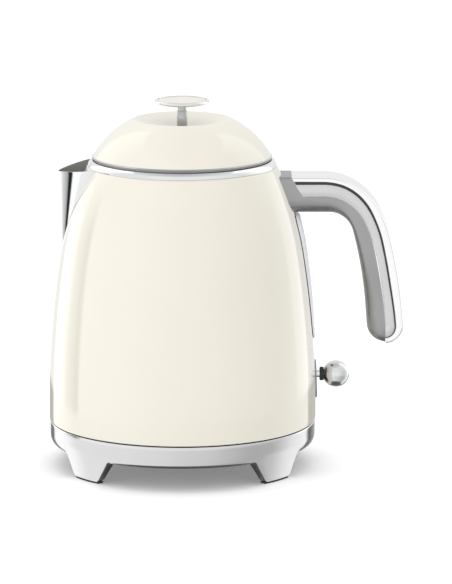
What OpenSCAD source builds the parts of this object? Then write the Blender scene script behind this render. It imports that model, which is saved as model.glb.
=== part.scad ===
// Small retro electric kettle: painted jug with a polished spout and a
// bow handle, lift-off domed lid, lever switch, and a four-footed power
// base with a 360-degree connector.
// Everything is laid out about the vertical axis of the jug, +Z up, with
// the spout toward -X and the handle toward +X, and then shifted along X
// so that the origin is at the bottom centre of the whole object's box.

/* [Jug body] */
// Largest diameter of the painted jug
body_d = 153.4; // [127:0.2:185]
// Height of the jug's lower edge above the table
body_bottom = 27.1; // [26:0.1:34]
// Height of the jug's mouth above its lower edge
body_h = 147.4; // [125:0.2:177]
// Sheet thickness of the jug
shell_wall = 1; // [0.8:0.1:1.4]
// Radius of the long curve of the jug's flank
flank_r = 605; // [500:5:900]
// Height from the mouth down to where the flank turns into the shoulder
shoulder_drop = 52.4; // [45:0.2:65]
// Radius of the shoulder curve
shoulder_r = 200; // [180:5:320]

/* [Mouth and lid] */
// Height of the polished collar on the mouth
collar_h = 3.4; // [2.5:0.1:5]
// How far the collar leans in from bottom to top
collar_lean = 2.4; // [1.5:0.1:3]
// Radial thickness of the collar's upper part
collar_wall = 1.9; // [1.5:0.1:3]
// Gap between the collar and the lid's rim
lid_gap = 0.4; // [0.3:0.1:0.8]
// Height of the lid's rim bead
rim_h = 1.7; // [1.2:0.1:3]
// Height of the lid's dome from its rim to its crease
dome_h = 21.2; // [17.5:0.2:26]
// Radius of the crease round the sunk top of the lid
dish_r = 27.3; // [22:0.1:33]
// Depth of the sunk top of the lid
dish_depth = 5; // [3:0.5:7]
// Radius of the dome's curve in section
dome_curve_r = 52.4; // [40:0.2:70]
// Sheet thickness of the lid
lid_wall = 1; // [0.8:0.1:1.4]

/* [Knob] */
// Diameter of the knob's disc
knob_d = 31.6; // [26:0.2:38]
// Thickness of the knob's disc
knob_h = 3.4; // [3:0.1:6]
// Height of the knob's top above the crease of the lid
knob_rise = 10.9; // [8:0.1:16]
// Diameter of the knob's stem
stem_d = 5.9; // [5:0.1:8]
// Width of the metal edge left round the knob's inlay
knob_edge = 2.1; // [1.5:0.1:3]

/* [Spout] */
// Height from the jug's mouth down to the spout's tip
spout_drop = 3.7; // [3:0.1:5]
// How far the tip stands out past the mouth of the jug
spout_out = 17.5; // [14:0.1:20]
// Half width of the spout where it meets the mouth
spout_half_w = 23.5; // [20:0.5:27]
// Height from the jug's mouth down to the spout's foot
spout_length = 48.4; // [42:0.2:58]
// Sheet thickness of the spout
spout_wall = 1; // [0.8:0.1:1.4]
// How much the spout's rim rises from its tip to the jug
spout_rim_rise = 4; // [2:0.5:6]
// Thickness of the lift-out filter in the spout
filter_t = 1.2; // [1:0.1:1.6]

/* [Handle] */
// Height from the jug's mouth down to the handle's top
handle_drop = 5.4; // [4:0.2:8]
// Height of the handle from its top to its lower end
handle_h = 96.4; // [82:0.2:115]
// Straight run of the handle's top from the jug to its bend
handle_run = 24; // [20:0.5:29]
// Thickness of the handle seen from the side
handle_t = 21; // [19:0.1:23]
// Width of the handle, front to back
handle_w = 26; // [22:0.5:31]
// Radius of the handle's outer bend
bend_r = 37; // [32:0.5:44]
// Thickness of the polished bow on the outside of the handle
bow_t = 4; // [3:0.1:5]
// Width of the shadow groove between the bow and the insert
groove_w = 1.6; // [1:0.1:2.5]
// Thickness of the light insert under the bow
insert_t = 5.2; // [4:0.1:6]

/* [Water gauge] */
// Width of the water gauge's window strip
gauge_w = 13; // [10:0.5:16]
// Height of the gauge's lower end above the chamber's floor
gauge_lift = 4.8; // [4:0.1:8]
// Gap between the gauge's upper end and the handle
gauge_gap = 0.5; // [0.4:0.1:6]
// How far the strip stands proud of the jug
gauge_out = 1.5; // [1:0.1:2]

/* [Lever switch] */
// Height of the lever above the jug's lower edge
lever_h = 25.4; // [24:0.1:27]
// Diameter of the lever's ball
ball_d = 15.4; // [13:0.2:18]
// Gap between the collar behind the ball and the plate on the jug
collar_gap = 1.5; // [1.5:0.1:3]
// Diameter of the lever's stem
lever_stem_d = 4.3; // [3.5:0.1:5.2]
// Angle through which the lever is pressed down
lever_throw = 11; // [9:0.5:11]
// Height of the water chamber's floor above the lever
floor_rise = 16.1; // [15.5:0.1:20]

/* [Base] */
// How far the base ring's side is set in from the jug's widest part
base_inset = 0.5; // [0.2:0.1:2]
// Height of the base ring's lower edge above the table
ring_bottom = 13.9; // [12:0.1:17]
// Gap between the base ring and the jug's lower edge
seam_gap = 0.5; // [0.3:0.1:1]
// Wall thickness of the base ring
ring_wall = 3; // [2:0.1:4]
// Width of each foot where it leaves the ring
foot_top_w = 38.5; // [33:0.5:44]
// How far each foot's top is shifted toward the front or the back
foot_skew = 3.1; // [0:0.1:5]
// Width of each foot at the floor
foot_bottom_w = 21.3; // [17:0.1:25]
// Thickness of each foot, outside to inside
foot_depth = 5; // [4:0.1:7]
// How far each foot leans in from the ring to the floor
foot_lean = 4.2; // [3:0.1:6]
// Angle of each foot from the line through spout and handle
foot_angle = 40; // [37:0.5:45]
// Thickness of the rubber pad under each foot
pad_t = 1; // [0.8:0.1:1.5]
// Bore of the cord inlet
cord_bore = 7; // [6:0.1:8]

/* [Connector] */
// Outer diameter of the base's half of the connector
plug_d = 34; // [30:0.1:41]
// How far the base's half stands up into the jug's half
plug_h = 13; // [11:0.5:14]
// Radial clearance between the two halves
plug_clear = 0.5; // [0.4:0.1:0.8]

/* [Hidden] */
$fn = 96;
eps = 0.02;
// radial clearance left between parts that are slid together
fit = 0.1;
// clearance between parts of different bodies
run_clear = 0.35;
body_r = body_d / 2;
body_top = body_bottom + body_h;
// a taller jug has flatter arcs, so that its mouth stays as wide
usual_body_h = 147.4;
taller = body_h / usual_body_h;
side_arc_r = flank_r * taller * taller;
top_arc_r = shoulder_r * taller * taller;
shoulder_z = body_top - shoulder_drop * taller;
// height of the jug's widest point, a little above its lower edge
wide_z = body_bottom + 3;
flank_sin = (shoulder_z - wide_z) / side_arc_r;
shoulder_start_r = body_r - side_arc_r * (1 - sqrt(1 - flank_sin * flank_sin));

// outer radius of the jug at height z: flank arc, then shoulder arc
function flank_at(z) = let (s = (z - wide_z) / side_arc_r)
    body_r - side_arc_r * (1 - sqrt(1 - s * s));
function shoulder_at(z) = let (s = flank_sin + (z - shoulder_z) / top_arc_r)
    shoulder_start_r
    - top_arc_r * (sqrt(1 - flank_sin * flank_sin) - sqrt(1 - s * s));
function jug_r(z) = z < shoulder_z ? flank_at(z) : shoulder_at(z);

// heights at which the jug's outline is drawn between z0 and z1
function steps(z0, z1, n = 16) = [for (i = [0:n]) z0 + (z1 - z0) * i / n];
function outline(z0, z1, out = 0, n = 16) =
    [for (z = steps(z0, z1, n)) [jug_r(z) + out, z]];
function turned_back(points) =
    [for (i = [len(points) - 1:-1:0]) points[i]];

// points of an arc about c from angle a0 to a1
function arc(c, r, a0, a1, n = 10) =
    [for (i = [0:n]) let (a = a0 + (a1 - a0) * i / n)
        c + r * [cos(a), sin(a)]];
// centre of an arc of radius r from p to q, bulging to the left of p->q
function arc_centre(p, q, r) =
    let (m = (p + q) / 2, d = q - p, l = norm(d),
         h = sqrt(r * r - l * l / 4))
    m + h * [-d[1], d[0]] / l;
function angle_of(v) = atan2(v[1], v[0]);

mouth_r = jug_r(body_top);
collar_top = body_top + collar_h;
collar_top_r = mouth_r - collar_lean;
throat_r = collar_top_r - collar_wall;
lid_z = collar_top + lid_gap;
dome_z = lid_z + rim_h;
rim_r = collar_top_r - 0.1;
dome_r = rim_r - 0.7;
crease_z = dome_z + dome_h;
dish_z = crease_z - dish_depth;
knob_top = crease_z + knob_rise;
disc_z = knob_top - knob_h;
seal_t = 1.4;
liner_r = throat_r - run_clear - seal_t;
liner_wall = 1.5;
liner_drop = 8;
liner_z = lid_z - liner_drop;

lever_z = body_bottom + lever_h;
floor_z = lever_z + floor_rise;
floor_t = 1.2;
diffuser_t = 3;
element_d = 6.4;
element_z = floor_z - floor_t - diffuser_t - element_d / 2;
steam_d = 8;
steam_wall = 0.8;
// the steam tube passes up inside the mouth's radius
steam_r = throat_r - 2;
element_r = steam_r - (steam_d + element_d) / 2 - 1.5;
diffuser_r = element_r + 10;
stud_r = jug_r(floor_z) - 12;
stud_d = 7;
steam_angle = 40;

wall_x = jug_r(lever_z);
pivot_x = wall_x - 17;
pin_d = 3;
fork_x = pivot_x - 8;
rocker_x = fork_x - 10;
// the fork's prongs end this far past the pin between them
fork_tip = 1.4;
fork_half = 1.6;
prong_t = 1.6;
plate_out = 1;
plate_half_w = 6;
plate_low = 14;
plate_high = 8.3;
// room for the stem through the jug: its swing at the wall plus clearance
slot_drop = (wall_x + plate_out - pivot_x) * sin(lever_throw);
slot_half = lever_stem_d / 2 + 0.7;

base_r = body_r - base_inset;
ring_top = body_bottom - seam_gap;
ring_edge_r = 5;
deck_t = 2;
deck_z = ring_top - 0.3 - deck_t;
rest_z = deck_z + deck_t;
pan_t = 2;
pan_z = ring_bottom + 1;
plug_top = rest_z + plug_h;
cup_wall = 3;
cup_r = plug_d / 2 + plug_clear;
cup_top = plug_top + 1.5;
cup_roof = 3;
under_t = 2;
gland_z = (pan_z + pan_t + deck_z) / 2;
gland_r = cord_bore / 2 + 1.2;
gland_len = 13;
pad_inset = 0.8;

spout_tip_x = mouth_r + spout_out;
spout_tip_z = body_top - spout_drop;
spout_foot_z = body_top - spout_length;
spout_foot_x = jug_r(spout_foot_z);
spout_nose_r = 7;
// slope of the jug's front between the foot of the spout and the mouth
lean_z0 = body_top - 26;
lean_z1 = body_top - 5;
lean_angle = atan2(jug_r(lean_z0) - jug_r(lean_z1), lean_z1 - lean_z0);
filter_low = body_top - 27;
filter_len = 22;

handle_top = body_top - handle_drop;
handle_bottom = handle_top - handle_h;
bend_x = jug_r(handle_top) + handle_run;
cap_r = handle_t / 2;
cap_z = handle_bottom + cap_r;
part_d = bow_t + groove_w + insert_t;
// the handle's outline runs level, then through three arcs, each given
// as its radius and the direction, below level, at which it ends
outer_arcs = [[bend_r, 65], [2.15 * bend_r, 76], [7.5 * bend_r, 86]];
function arc_end(p, r, a0, a1) =
    p + r * [sin(a1) - sin(a0), cos(a1) - cos(a0)];
outer_p0 = [bend_x, handle_top];
outer_p1 = arc_end(outer_p0, outer_arcs[0][0], 0, outer_arcs[0][1]);
outer_p2 = arc_end(outer_p1, outer_arcs[1][0], outer_arcs[0][1],
                   outer_arcs[1][1]);
outer_p3 = arc_end(outer_p2, outer_arcs[2][0], outer_arcs[1][1],
                   outer_arcs[2][1]);
// below the arcs the leg runs down, hardly leaning, to its round end
leg_lean = 1 / tan(outer_arcs[2][1]);
leg_x = outer_p3[0] + max(0, outer_p3[1] - cap_z) * leg_lean;
handle_reach = leg_x;
cap_x = leg_x - cap_r;
function bend_points(p, r, a0, a1, d, n = 8) =
    [for (i = [0:n]) let (a = a0 + (a1 - a0) * i / n)
        p + r * [sin(a) - sin(a0), cos(a) - cos(a0)]
        - d * [sin(a), cos(a)]];
// outline of the handle at depth d inside its outer edge
function outer_path(d) = concat(
    [[0, handle_top - d]],
    bend_points(outer_p0, outer_arcs[0][0], 0, outer_arcs[0][1], d),
    bend_points(outer_p1, outer_arcs[1][0], outer_arcs[0][1],
                outer_arcs[1][1], d, 4),
    [for (p = bend_points(outer_p2, outer_arcs[2][0], outer_arcs[1][1],
                          outer_arcs[2][1], d, 6)) if (p[1] > cap_z) p],
    arc([cap_x, cap_z], max(cap_r - d, eps), 0, -90));
inner_r = 13.9;
inner_x = bend_x + 3.5;
inner_z = handle_top - handle_t - 0.2;
inner_p1 = arc_end([inner_x, inner_z], inner_r, 0, 75);
inner_leg_r = 250;
inner_path = concat(
    [[0, inner_z]],
    bend_points([inner_x, inner_z], inner_r, 0, 75, 0),
    [for (p = bend_points(inner_p1, inner_leg_r, 75, 87, 0, 6))
        if (p[1] > cap_z) p],
    arc([cap_x, cap_z], cap_r, 180, 270));
root_top_x = jug_r(handle_top) + 6;
root_low_x = root_top_x + 6.6;
root_low_z = handle_top - part_d;
tongue_t = 2;
tongue_w = 14;
tongue_z = handle_top - handle_t + 5;

gauge_z = floor_z + gauge_lift;
gauge_top = inner_z - gauge_gap;
gauge_slot = 8;
gauge_edge = 5;

front_reach = max(body_r, spout_tip_x);
axis_x = (front_reach - handle_reach) / 2;

paint = "#ebe5d6";
satin_metal = "#b9bbbc";
bright_metal = "#d6d8da";
dark_plastic = "#4a4b4d";
grip_plastic = "#77797c";
light_plastic = "#c9cbcd";
rubber = "#2c2c2e";
copper = "#b87333";
clear_plastic = "#dfe3e4";
brushed_metal = "#9fa1a3";
cast_aluminium = "#c4c6c8";
dull_steel = "#8d8f92";
brass = "#c8a951";

// ---- shared shapes ----

// everything is drawn about the jug's own axis and placed by this
module placed() { translate([axis_x, 0, 0]) children(); }

// a plain ring between two radii, standing on z
module ring(outer, inner, h, z) {
    translate([0, 0, z])
        difference() {
            cylinder(h = h, r = outer);
            translate([0, 0, -1]) cylinder(h = h + 2, r = inner);
        }
}

// solid inside the jug's outer surface, grown by out
module jug_solid(out = 0, z0 = body_bottom, z1 = body_top, n = 16) {
    rotate_extrude()
        polygon(concat([[0, z0]], outline(z0, z1, out, n), [[0, z1]]));
}

// sheet that follows the jug's wall between two offsets and two heights
module jug_sheet(low, high, z0, z1, n = 14) {
    rotate_extrude()
        polygon(concat(outline(z0, z1, high, n),
                       turned_back(outline(z0, z1, low, n))));
}

// a slab, w wide in Y, on the handle's side of the jug
module rear_slab(w, z0, z1, x0 = 20, x1 = 110) {
    translate([x0, -w / 2, z0]) cube([x1 - x0, w, z1 - z0]);
}

module at_angles(first, count) {
    for (i = [0:count - 1]) rotate([0, 0, first + 360 * i / count])
        children();
}

// a pan-head screw pointing up, with its head underneath
module screw_up(x, z, len, d = 3, head_d = 5.6, head_h = 1.8) {
    translate([x, 0, z - head_h]) cylinder(h = head_h, d = head_d, $fn = 32);
    translate([x, 0, z - eps]) cylinder(h = len, d = d, $fn = 32);
}

// ---- power base ----

// the four feet's sides: slabs that widen from the floor to the ring, a
// pair each side of the front and the back
module foot_blocks(z0, inset = 0) {
    for (front = [0, 1], side = [0, 1])
        mirror([0, front, 0]) mirror([side, 0, 0]) rotate([0, 0, foot_angle])
            rotate([90, 0, 90]) linear_extrude(height = base_r + 5)
                polygon([[-foot_bottom_w / 2 + inset, z0],
                         [foot_bottom_w / 2 - inset, z0],
                         [foot_top_w / 2 + foot_skew, ring_bottom + 2],
                         [-foot_top_w / 2 + foot_skew, ring_bottom + 2]]);
}

// the surface that the feet's outsides share, upright at the ring and
// leaning in down to the floor, moved in by a depth
module foot_cone(depth) {
    r = base_r - 0.2 - depth;
    rotate_extrude()
        polygon([[0, 0], [r - foot_lean, 0], [r, ring_bottom + 4],
                 [0, ring_bottom + 4]]);
}

module base_ring() {
    inner = base_r - ring_wall;
    color(satin_metal) placed() difference() {
        union() {
            rotate_extrude()
                polygon(concat(
                    arc([base_r - ring_edge_r, ring_bottom + ring_edge_r],
                        ring_edge_r, -90, 0, 8),
                    [[base_r, ring_top - 1], [base_r - 0.7, ring_top],
                     [inner, ring_top], [inner, pan_z],
                     [inner - 6, pan_z], [inner - 6, ring_bottom]]));
            intersection() {
                foot_cone(0);
                foot_blocks(pad_t);
            }
        }
        // the hollow between the feet, and the room above the flange
        difference() {
            foot_cone(foot_depth);
            ring(inner, inner - 6, 40, ring_bottom);
        }
        translate([0, 0, pan_z]) cylinder(h = 40, r = inner);
        // cord inlet, through the back
        translate([0, inner - 3, gland_z]) rotate([-90, 0, 0])
            cylinder(h = ring_wall + 10, r = gland_r + fit, $fn = 48);
    }
}

module foot_pads() {
    // the pads lie under the feet, a little inside their edges
    outer = base_r - 0.2 - foot_lean - pad_inset;
    color(rubber) placed() intersection() {
        ring(outer, outer - foot_depth + 2 * pad_inset, pad_t, 0);
        foot_blocks(-eps, pad_inset);
    }
}

post_r = base_r - foot_depth - 20;
post_angle = 45;
// room for the cord gland, which is thicker than the gap it lies in
module gland_room() {
    translate([0, base_r - gland_len - 2, gland_z]) rotate([-90, 0, 0])
        cylinder(h = gland_len + 5, r = gland_r + fit, $fn = 48);
}

module base_pan() {
    inner = base_r - ring_wall - fit;
    color(dark_plastic) placed() difference() {
        union() {
            translate([0, 0, pan_z]) cylinder(h = pan_t, r = inner);
            // posts that carry the deck and take the screws
            at_angles(post_angle, 4) translate([post_r, 0, pan_z])
                cylinder(h = deck_z - pan_z, r = 4.5, $fn = 48);
        }
        at_angles(post_angle, 4) translate([post_r, 0, pan_z - 1])
            cylinder(h = 20, r = 1.6, $fn = 32);
        gland_room();
    }
}

module base_screws() {
    color(satin_metal) placed()
        at_angles(post_angle, 4) screw_up(post_r, pan_z, deck_z - pan_z, 3);
}

module base_deck() {
    inner = base_r - ring_wall - fit;
    color(dark_plastic) placed() difference() {
        ring(inner, plug_d / 2 - 2, deck_t, deck_z);
        // drain holes for spilt water
        at_angles(30, 3) translate([post_r - 14, 0, deck_z - 1])
            cylinder(h = 4, r = 1.5, $fn = 32);
        gland_room();
    }
}

slot_ring_rs = [5.5, 9.5, 13];
module base_connector() {
    color(dark_plastic) placed() difference() {
        union() {
            translate([0, 0, rest_z]) cylinder(h = plug_h, d = plug_d);
            translate([0, 0, pan_z + pan_t])
                cylinder(h = rest_z - pan_z - pan_t, r = plug_d / 2 - 2.1);
        }
        // ring grooves for the live, neutral and earth contacts
        for (r = slot_ring_rs) ring(r + 0.9, r - 0.9, 9, plug_top - 7);
        translate([0, 0, plug_top - 8]) cylinder(h = 9, r = 3, $fn = 48);
    }
}

module base_contacts() {
    color(brass) placed()
        for (r = slot_ring_rs)
            ring(r + 0.85, r - 0.85, 2.5, plug_top - 7);
}

module cord_gland() {
    y1 = base_r - 0.4;
    color(rubber) placed() translate([0, y1 - gland_len, gland_z])
        rotate([-90, 0, 0]) difference() {
            cylinder(h = gland_len, r = gland_r, $fn = 48);
            translate([0, 0, -1])
                cylinder(h = gland_len + 2, d = cord_bore, $fn = 48);
        }
}

clamp_y = base_r - gland_len - 12;
clamp_z = pan_z + pan_t;
clamp_h = deck_z - clamp_z - 1.2;
// the bridge's channel is a little tighter than the inlet's bore
clamp_r = cord_bore / 2 - 0.8;
module cord_clamp() {
    color(dark_plastic) placed() difference() {
        translate([-11, clamp_y - 3, clamp_z]) cube([22, 6, clamp_h]);
        translate([0, clamp_y - 5, clamp_z + clamp_r - 0.9])
            rotate([-90, 0, 0]) cylinder(h = 10, r = clamp_r, $fn = 48);
        for (s = [-1, 1]) translate([s * 8, clamp_y, clamp_z - 1])
            cylinder(h = 10, r = 1.25, $fn = 32);
    }
}

module clamp_screws() {
    color(satin_metal) placed()
        for (s = [-1, 1]) translate([s * 8, clamp_y, clamp_z]) {
            cylinder(h = clamp_h + eps, r = 1.2, $fn = 32);
            translate([0, 0, clamp_h]) cylinder(h = 1, r = 2.2, $fn = 32);
        }
}

// ---- connector, jug's half ----

module jug_connector() {
    z0 = rest_z + 0.6;
    color(dark_plastic) placed() difference() {
        translate([0, 0, z0])
            cylinder(h = cup_top + cup_roof - z0, r = cup_r + cup_wall);
        translate([0, 0, z0 - 1]) cylinder(h = cup_top - z0 + 1, r = cup_r);
    }
}

module jug_contacts() {
    color(brass) placed() {
        // earth pin in the middle, blades for the two rings around it
        translate([0, 0, plug_top - 7])
            cylinder(h = cup_top - plug_top + 7, r = 2.2, $fn = 48);
        for (r = slot_ring_rs) rotate([0, 0, 30 * r])
            translate([r, 0, plug_top - 4])
                cylinder(h = cup_top - plug_top + 4, r = 0.45, $fn = 24);
    }
}

// ---- jug ----

window_half = 6;
module jug_shell() {
    color(paint) placed() difference() {
        jug_solid();
        translate([0, 0, -eps])
            jug_solid(-shell_wall, body_bottom, body_top + 2 * eps);
        translate([0, 0, body_bottom - 1])
            cylinder(h = 1.5, r = body_r - 2 * shell_wall);
        // pouring window behind the spout
        translate([-body_r - 10, -window_half, filter_low + 4])
            cube([body_r - 20, 2 * window_half, filter_len - 9]);
        // slot for the water gauge, behind the handle
        rear_slab(gauge_slot, gauge_z + gauge_edge, gauge_top - gauge_edge);
        // slot for the lever's stem
        rear_slab(2 * slot_half, lever_z - slot_drop - slot_half,
                  lever_z + slot_half);
    }
}

module collar_ring() {
    skirt_r = mouth_r - shell_wall - fit;
    skirt_h = 4;
    z0 = body_top;
    color(bright_metal) placed() rotate_extrude()
        polygon([
            [throat_r, z0 - skirt_h], [skirt_r, z0 - skirt_h],
            [skirt_r, z0], [mouth_r, z0],
            [mouth_r - collar_lean * 0.3, z0 + collar_h * 0.62],
            [collar_top_r + 0.3, collar_top - 0.3],
            [collar_top_r - 0.3, collar_top], [throat_r, collar_top]]);
}

// solid form of the spout: a rounded V at the rim that closes on the
// jug at its foot; inset thins it all round
module spout_form(inset, top_extra) {
    rim_z = spout_tip_z + spout_rim_rise + top_extra;
    hull() {
        translate([-(spout_tip_x - spout_nose_r), 0, rim_z])
            cylinder(h = 1, r = spout_nose_r - inset, $fn = 32);
        for (s = [-1, 1])
            translate([-(mouth_r - 14), s * (spout_half_w + 3), rim_z])
                cylinder(h = 1, r = 3 - inset, $fn = 32);
        translate([-(spout_foot_x - 2), 0, spout_foot_z + inset])
            cylinder(h = 1, r = 3 - inset, $fn = 32);
        translate([-(spout_foot_x - 20), 0, spout_foot_z + inset])
            cylinder(h = 1, r = 3 - inset, $fn = 32);
    }
}

module spout() {
    rim_slope = atan2(spout_rim_rise, spout_tip_x - mouth_r);
    color(bright_metal) placed() difference() {
        spout_form(0, 0);
        spout_form(spout_wall, 2);
        jug_solid(fit, spout_foot_z - 20, body_top + 20, 24);
        // everything inside the mouth
        translate([0, 0, spout_tip_z - 10])
            cylinder(h = 40, r = mouth_r + fit);
        // sloping rim, lowest at the tip
        translate([-spout_tip_x, 0, spout_tip_z]) rotate([0, -rim_slope, 0])
            translate([-10, -60, 0]) cube([80, 120, 30]);
    }
}

module spout_filter() {
    // stands in the spout against the jug's sloping front
    stand = run_clear;
    x0 = jug_r(filter_low) + stand;
    slot_pitch = 2.4;
    low_half = 4.6;
    high_half = 11;
    color(bright_metal) placed()
        translate([-x0, 0, filter_low]) rotate([0, lean_angle, 0])
            rotate([90, 0, -90]) difference() {
                linear_extrude(height = filter_t)
                    polygon([[-low_half, 0], [low_half, 0],
                             [high_half, filter_len],
                             [-high_half, filter_len]]);
                // straining slots between the frame's edges
                for (i = [-3:3]) let (x = i * slot_pitch,
                                      lo = 2 + max(0, (abs(x) - 2.4) * 3.4))
                    translate([x - 0.6, lo, -1])
                        cube([1.2, filter_len - 2.5 - lo, filter_t + 2]);
            }
}

module water_gauge() {
    color(clear_plastic) placed() {
        intersection() {
            jug_sheet(fit / 2, gauge_out, gauge_z, gauge_top);
            rear_slab(gauge_w, gauge_z - 1, gauge_top + 1);
        }
        // tongue that fills the slot
        intersection() {
            jug_sheet(-shell_wall, fit, gauge_z + gauge_edge + fit,
                      gauge_top - gauge_edge - fit);
            rear_slab(gauge_slot - 2 * fit, gauge_z, gauge_top);
        }
    }
}

module gauge_gasket() {
    z0 = gauge_z + gauge_edge - 3;
    z1 = gauge_top - gauge_edge + 3;
    color(rubber) placed() difference() {
        intersection() {
            jug_sheet(-shell_wall - 1.5, -shell_wall - fit, z0, z1);
            rear_slab(gauge_slot + 6, z0 - 1, z1 + 1);
        }
        rear_slab(gauge_slot - 3, z0 + 4, z1 - 4);
    }
}

module floor_plate() {
    lip = 5;
    in = -shell_wall - fit;
    color(bright_metal) placed() difference() {
        union() {
            rotate_extrude() polygon(concat(
                [[0, floor_z - floor_t]],
                outline(floor_z - floor_t, floor_z + lip, in, 3),
                [[jug_r(floor_z + lip) + in - 1, floor_z + lip],
                 [jug_r(floor_z) + in - 1, floor_z], [0, floor_z]]));
            // welded studs that take the underplate's screws
            at_angles(60, 3)
                translate([stud_r, 0, body_bottom + under_t])
                    cylinder(h = floor_z - body_bottom - under_t - 0.5,
                             d = stud_d, $fn = 48);
        }
        rotate([0, 0, steam_angle]) translate([steam_r, 0, floor_z - 5])
            cylinder(h = 10, d = steam_d + fit, $fn = 48);
        at_angles(60, 3) translate([stud_r, 0, body_bottom])
            cylinder(h = 10, r = 1.5, $fn = 32);
    }
}

module diffuser_plate() {
    color(cast_aluminium) placed() difference() {
        translate([0, 0, floor_z - floor_t - diffuser_t])
            cylinder(h = diffuser_t, r = diffuser_r);
        rotate([0, 0, steam_angle])
            translate([steam_r, 0, floor_z - 10])
                cylinder(h = 12, r = steam_d / 2 + 1, $fn = 48);
    }
}

gap_angle = 60;
module heating_element() {
    color(dull_steel) placed() rotate([0, 0, 180 + gap_angle / 2])
        rotate_extrude(angle = 360 - gap_angle)
            translate([element_r, element_z]) circle(d = element_d, $fn = 32);
}

module element_terminals() {
    color(satin_metal) placed()
        for (s = [-1, 1]) rotate([0, 0, 180 + s * (gap_angle / 2 - 4)])
            translate([element_r, 0, element_z - 9])
                cylinder(h = 9 + element_d / 2, r = 1.6, $fn = 32);
}

module steam_tube() {
    z0 = floor_z - 9;
    z1 = body_top - 16;
    color(bright_metal) placed() rotate([0, 0, steam_angle])
        translate([steam_r, 0, 0])
            ring(steam_d / 2, steam_d / 2 - steam_wall, z1 - z0, z0);
}

control_screw_head_r = 2.6;
// the control's screws stand clear of the cup beneath it
control_screw_r = cup_r + cup_wall + control_screw_head_r + 2.9;
control_r = control_screw_r + 4;
control_z0 = cup_top + cup_roof;
control_z1 = floor_z - floor_t - diffuser_t - 1;
rocker_w = 8;
rocker_gap = 0.5;
cheek_t = 3;
// hub of the rocker and of the lever's arm
hub_r = 3.6;
module control_body() {
    cheek_in = rocker_w / 2 + rocker_gap;
    color(dark_plastic) placed() difference() {
        union() {
            translate([0, 0, control_z0])
                cylinder(h = control_z1 - control_z0, r = control_r);
            // two cheeks, toward the handle, that hold the rocker's pin
            for (s = [-1, 1])
                translate([control_r - 8, s * (cheek_in + cheek_t / 2)
                           - cheek_t / 2, control_z0])
                    cube([rocker_x + hub_r - control_r + 8, cheek_t,
                          lever_z + hub_r - control_z0]);
        }
        // seats for the two heat-sensing discs
        for (a = [100, 220]) rotate([0, 0, a])
            translate([16, 0, control_z1 - 1.2])
                cylinder(h = 3, r = 8.2, $fn = 48);
        // the pin's hole through both cheeks
        translate([rocker_x, -rocker_w, lever_z]) rotate([-90, 0, 0])
            cylinder(h = 2 * rocker_w, d = pin_d, $fn = 32);
        // holes of the fixing screws
        at_angles(70, 3) translate([control_screw_r, 0, control_z0 - 1])
            cylinder(h = 40, r = 1.5, $fn = 32);
    }
}

module bimetal_discs() {
    color(copper) placed()
        for (a = [100, 220]) rotate([0, 0, a])
            translate([16, 0, control_z1 - 1.2])
                cylinder(h = 0.6, r = 8, $fn = 48);
}

module control_screws() {
    len = floor_z - floor_t - diffuser_t - control_z0;
    color(satin_metal) placed()
        at_angles(70, 3) translate([control_screw_r, 0, control_z0]) {
            cylinder(h = len, r = 1.4, $fn = 32);
            translate([0, 0, -1.6])
                cylinder(h = 1.6, r = control_screw_head_r, $fn = 32);
        }
}

// ---- lever switch ----

module rocker() {
    // hub on its pin, with a fork that takes the lever's tail
    color(light_plastic) placed() difference() {
        union() {
            translate([rocker_x, -rocker_w / 2, lever_z]) rotate([-90, 0, 0])
                cylinder(h = rocker_w, r = hub_r, $fn = 48);
            for (z = [lever_z + fork_half, lever_z - fork_half - prong_t])
                translate([rocker_x, -3, z])
                    cube([fork_x - rocker_x + fork_tip, 6, prong_t]);
        }
        translate([rocker_x, -rocker_w, lever_z]) rotate([-90, 0, 0])
            cylinder(h = 2 * rocker_w, d = pin_d + 0.1, $fn = 32);
    }
}

pin_half = rocker_w / 2 + rocker_gap + cheek_t;
module rocker_pin() {
    color(bright_metal) placed()
        translate([rocker_x, -pin_half, lever_z]) rotate([-90, 0, 0])
            cylinder(h = 2 * pin_half, d = pin_d, $fn = 32);
}

bracket_gap = 9;
module lever_bracket() {
    // two cheeks on a foot that stands on the underplate
    foot_z = body_bottom + under_t;
    color(dark_plastic) placed() difference() {
        union() {
            for (s = [-1, 1])
                translate([pivot_x - 4, s * (bracket_gap / 2 + 1.5) - 1.5,
                           foot_z])
                    cube([8, 3, lever_z + 4 - foot_z]);
            translate([pivot_x - 4, -bracket_gap / 2 - 3, foot_z])
                cube([8, bracket_gap + 6, 4]);
        }
        translate([pivot_x, -12, lever_z]) rotate([-90, 0, 0])
            cylinder(h = 24, d = pin_d, $fn = 32);
    }
}

module lever_pivot() {
    color(bright_metal) placed()
        translate([pivot_x, -bracket_gap / 2 - 3, lever_z])
            rotate([-90, 0, 0])
                cylinder(h = bracket_gap + 6, d = pin_d, $fn = 32);
}

arm_len = 9;
tail_t = 1.5;
module lever_arm() {
    color(dark_plastic) placed() difference() {
        union() {
            translate([pivot_x, -4, lever_z]) rotate([-90, 0, 0])
                cylinder(h = 8, r = hub_r, $fn = 48);
            translate([pivot_x, 0, lever_z]) rotate([0, 90, 0])
                cylinder(h = arm_len, r = 3.2, $fn = 48);
            // tail, with the pin that moves the rocker's fork
            translate([fork_x, -1.5, lever_z - tail_t / 2])
                cube([pivot_x - fork_x, 3, tail_t]);
            translate([fork_x, -2.6, lever_z]) rotate([-90, 0, 0])
                cylinder(h = 5.2, r = fork_half - 0.4, $fn = 32);
        }
        translate([pivot_x, -9, lever_z]) rotate([-90, 0, 0])
            cylinder(h = 18, d = pin_d + 0.1, $fn = 32);
        translate([pivot_x + 4, 0, lever_z]) rotate([0, 90, 0])
            cylinder(h = 20, d = lever_stem_d, $fn = 48);
    }
}

collar_t = 1.8;
collar_r = 4;
collar_bevel = 0.6;
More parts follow.
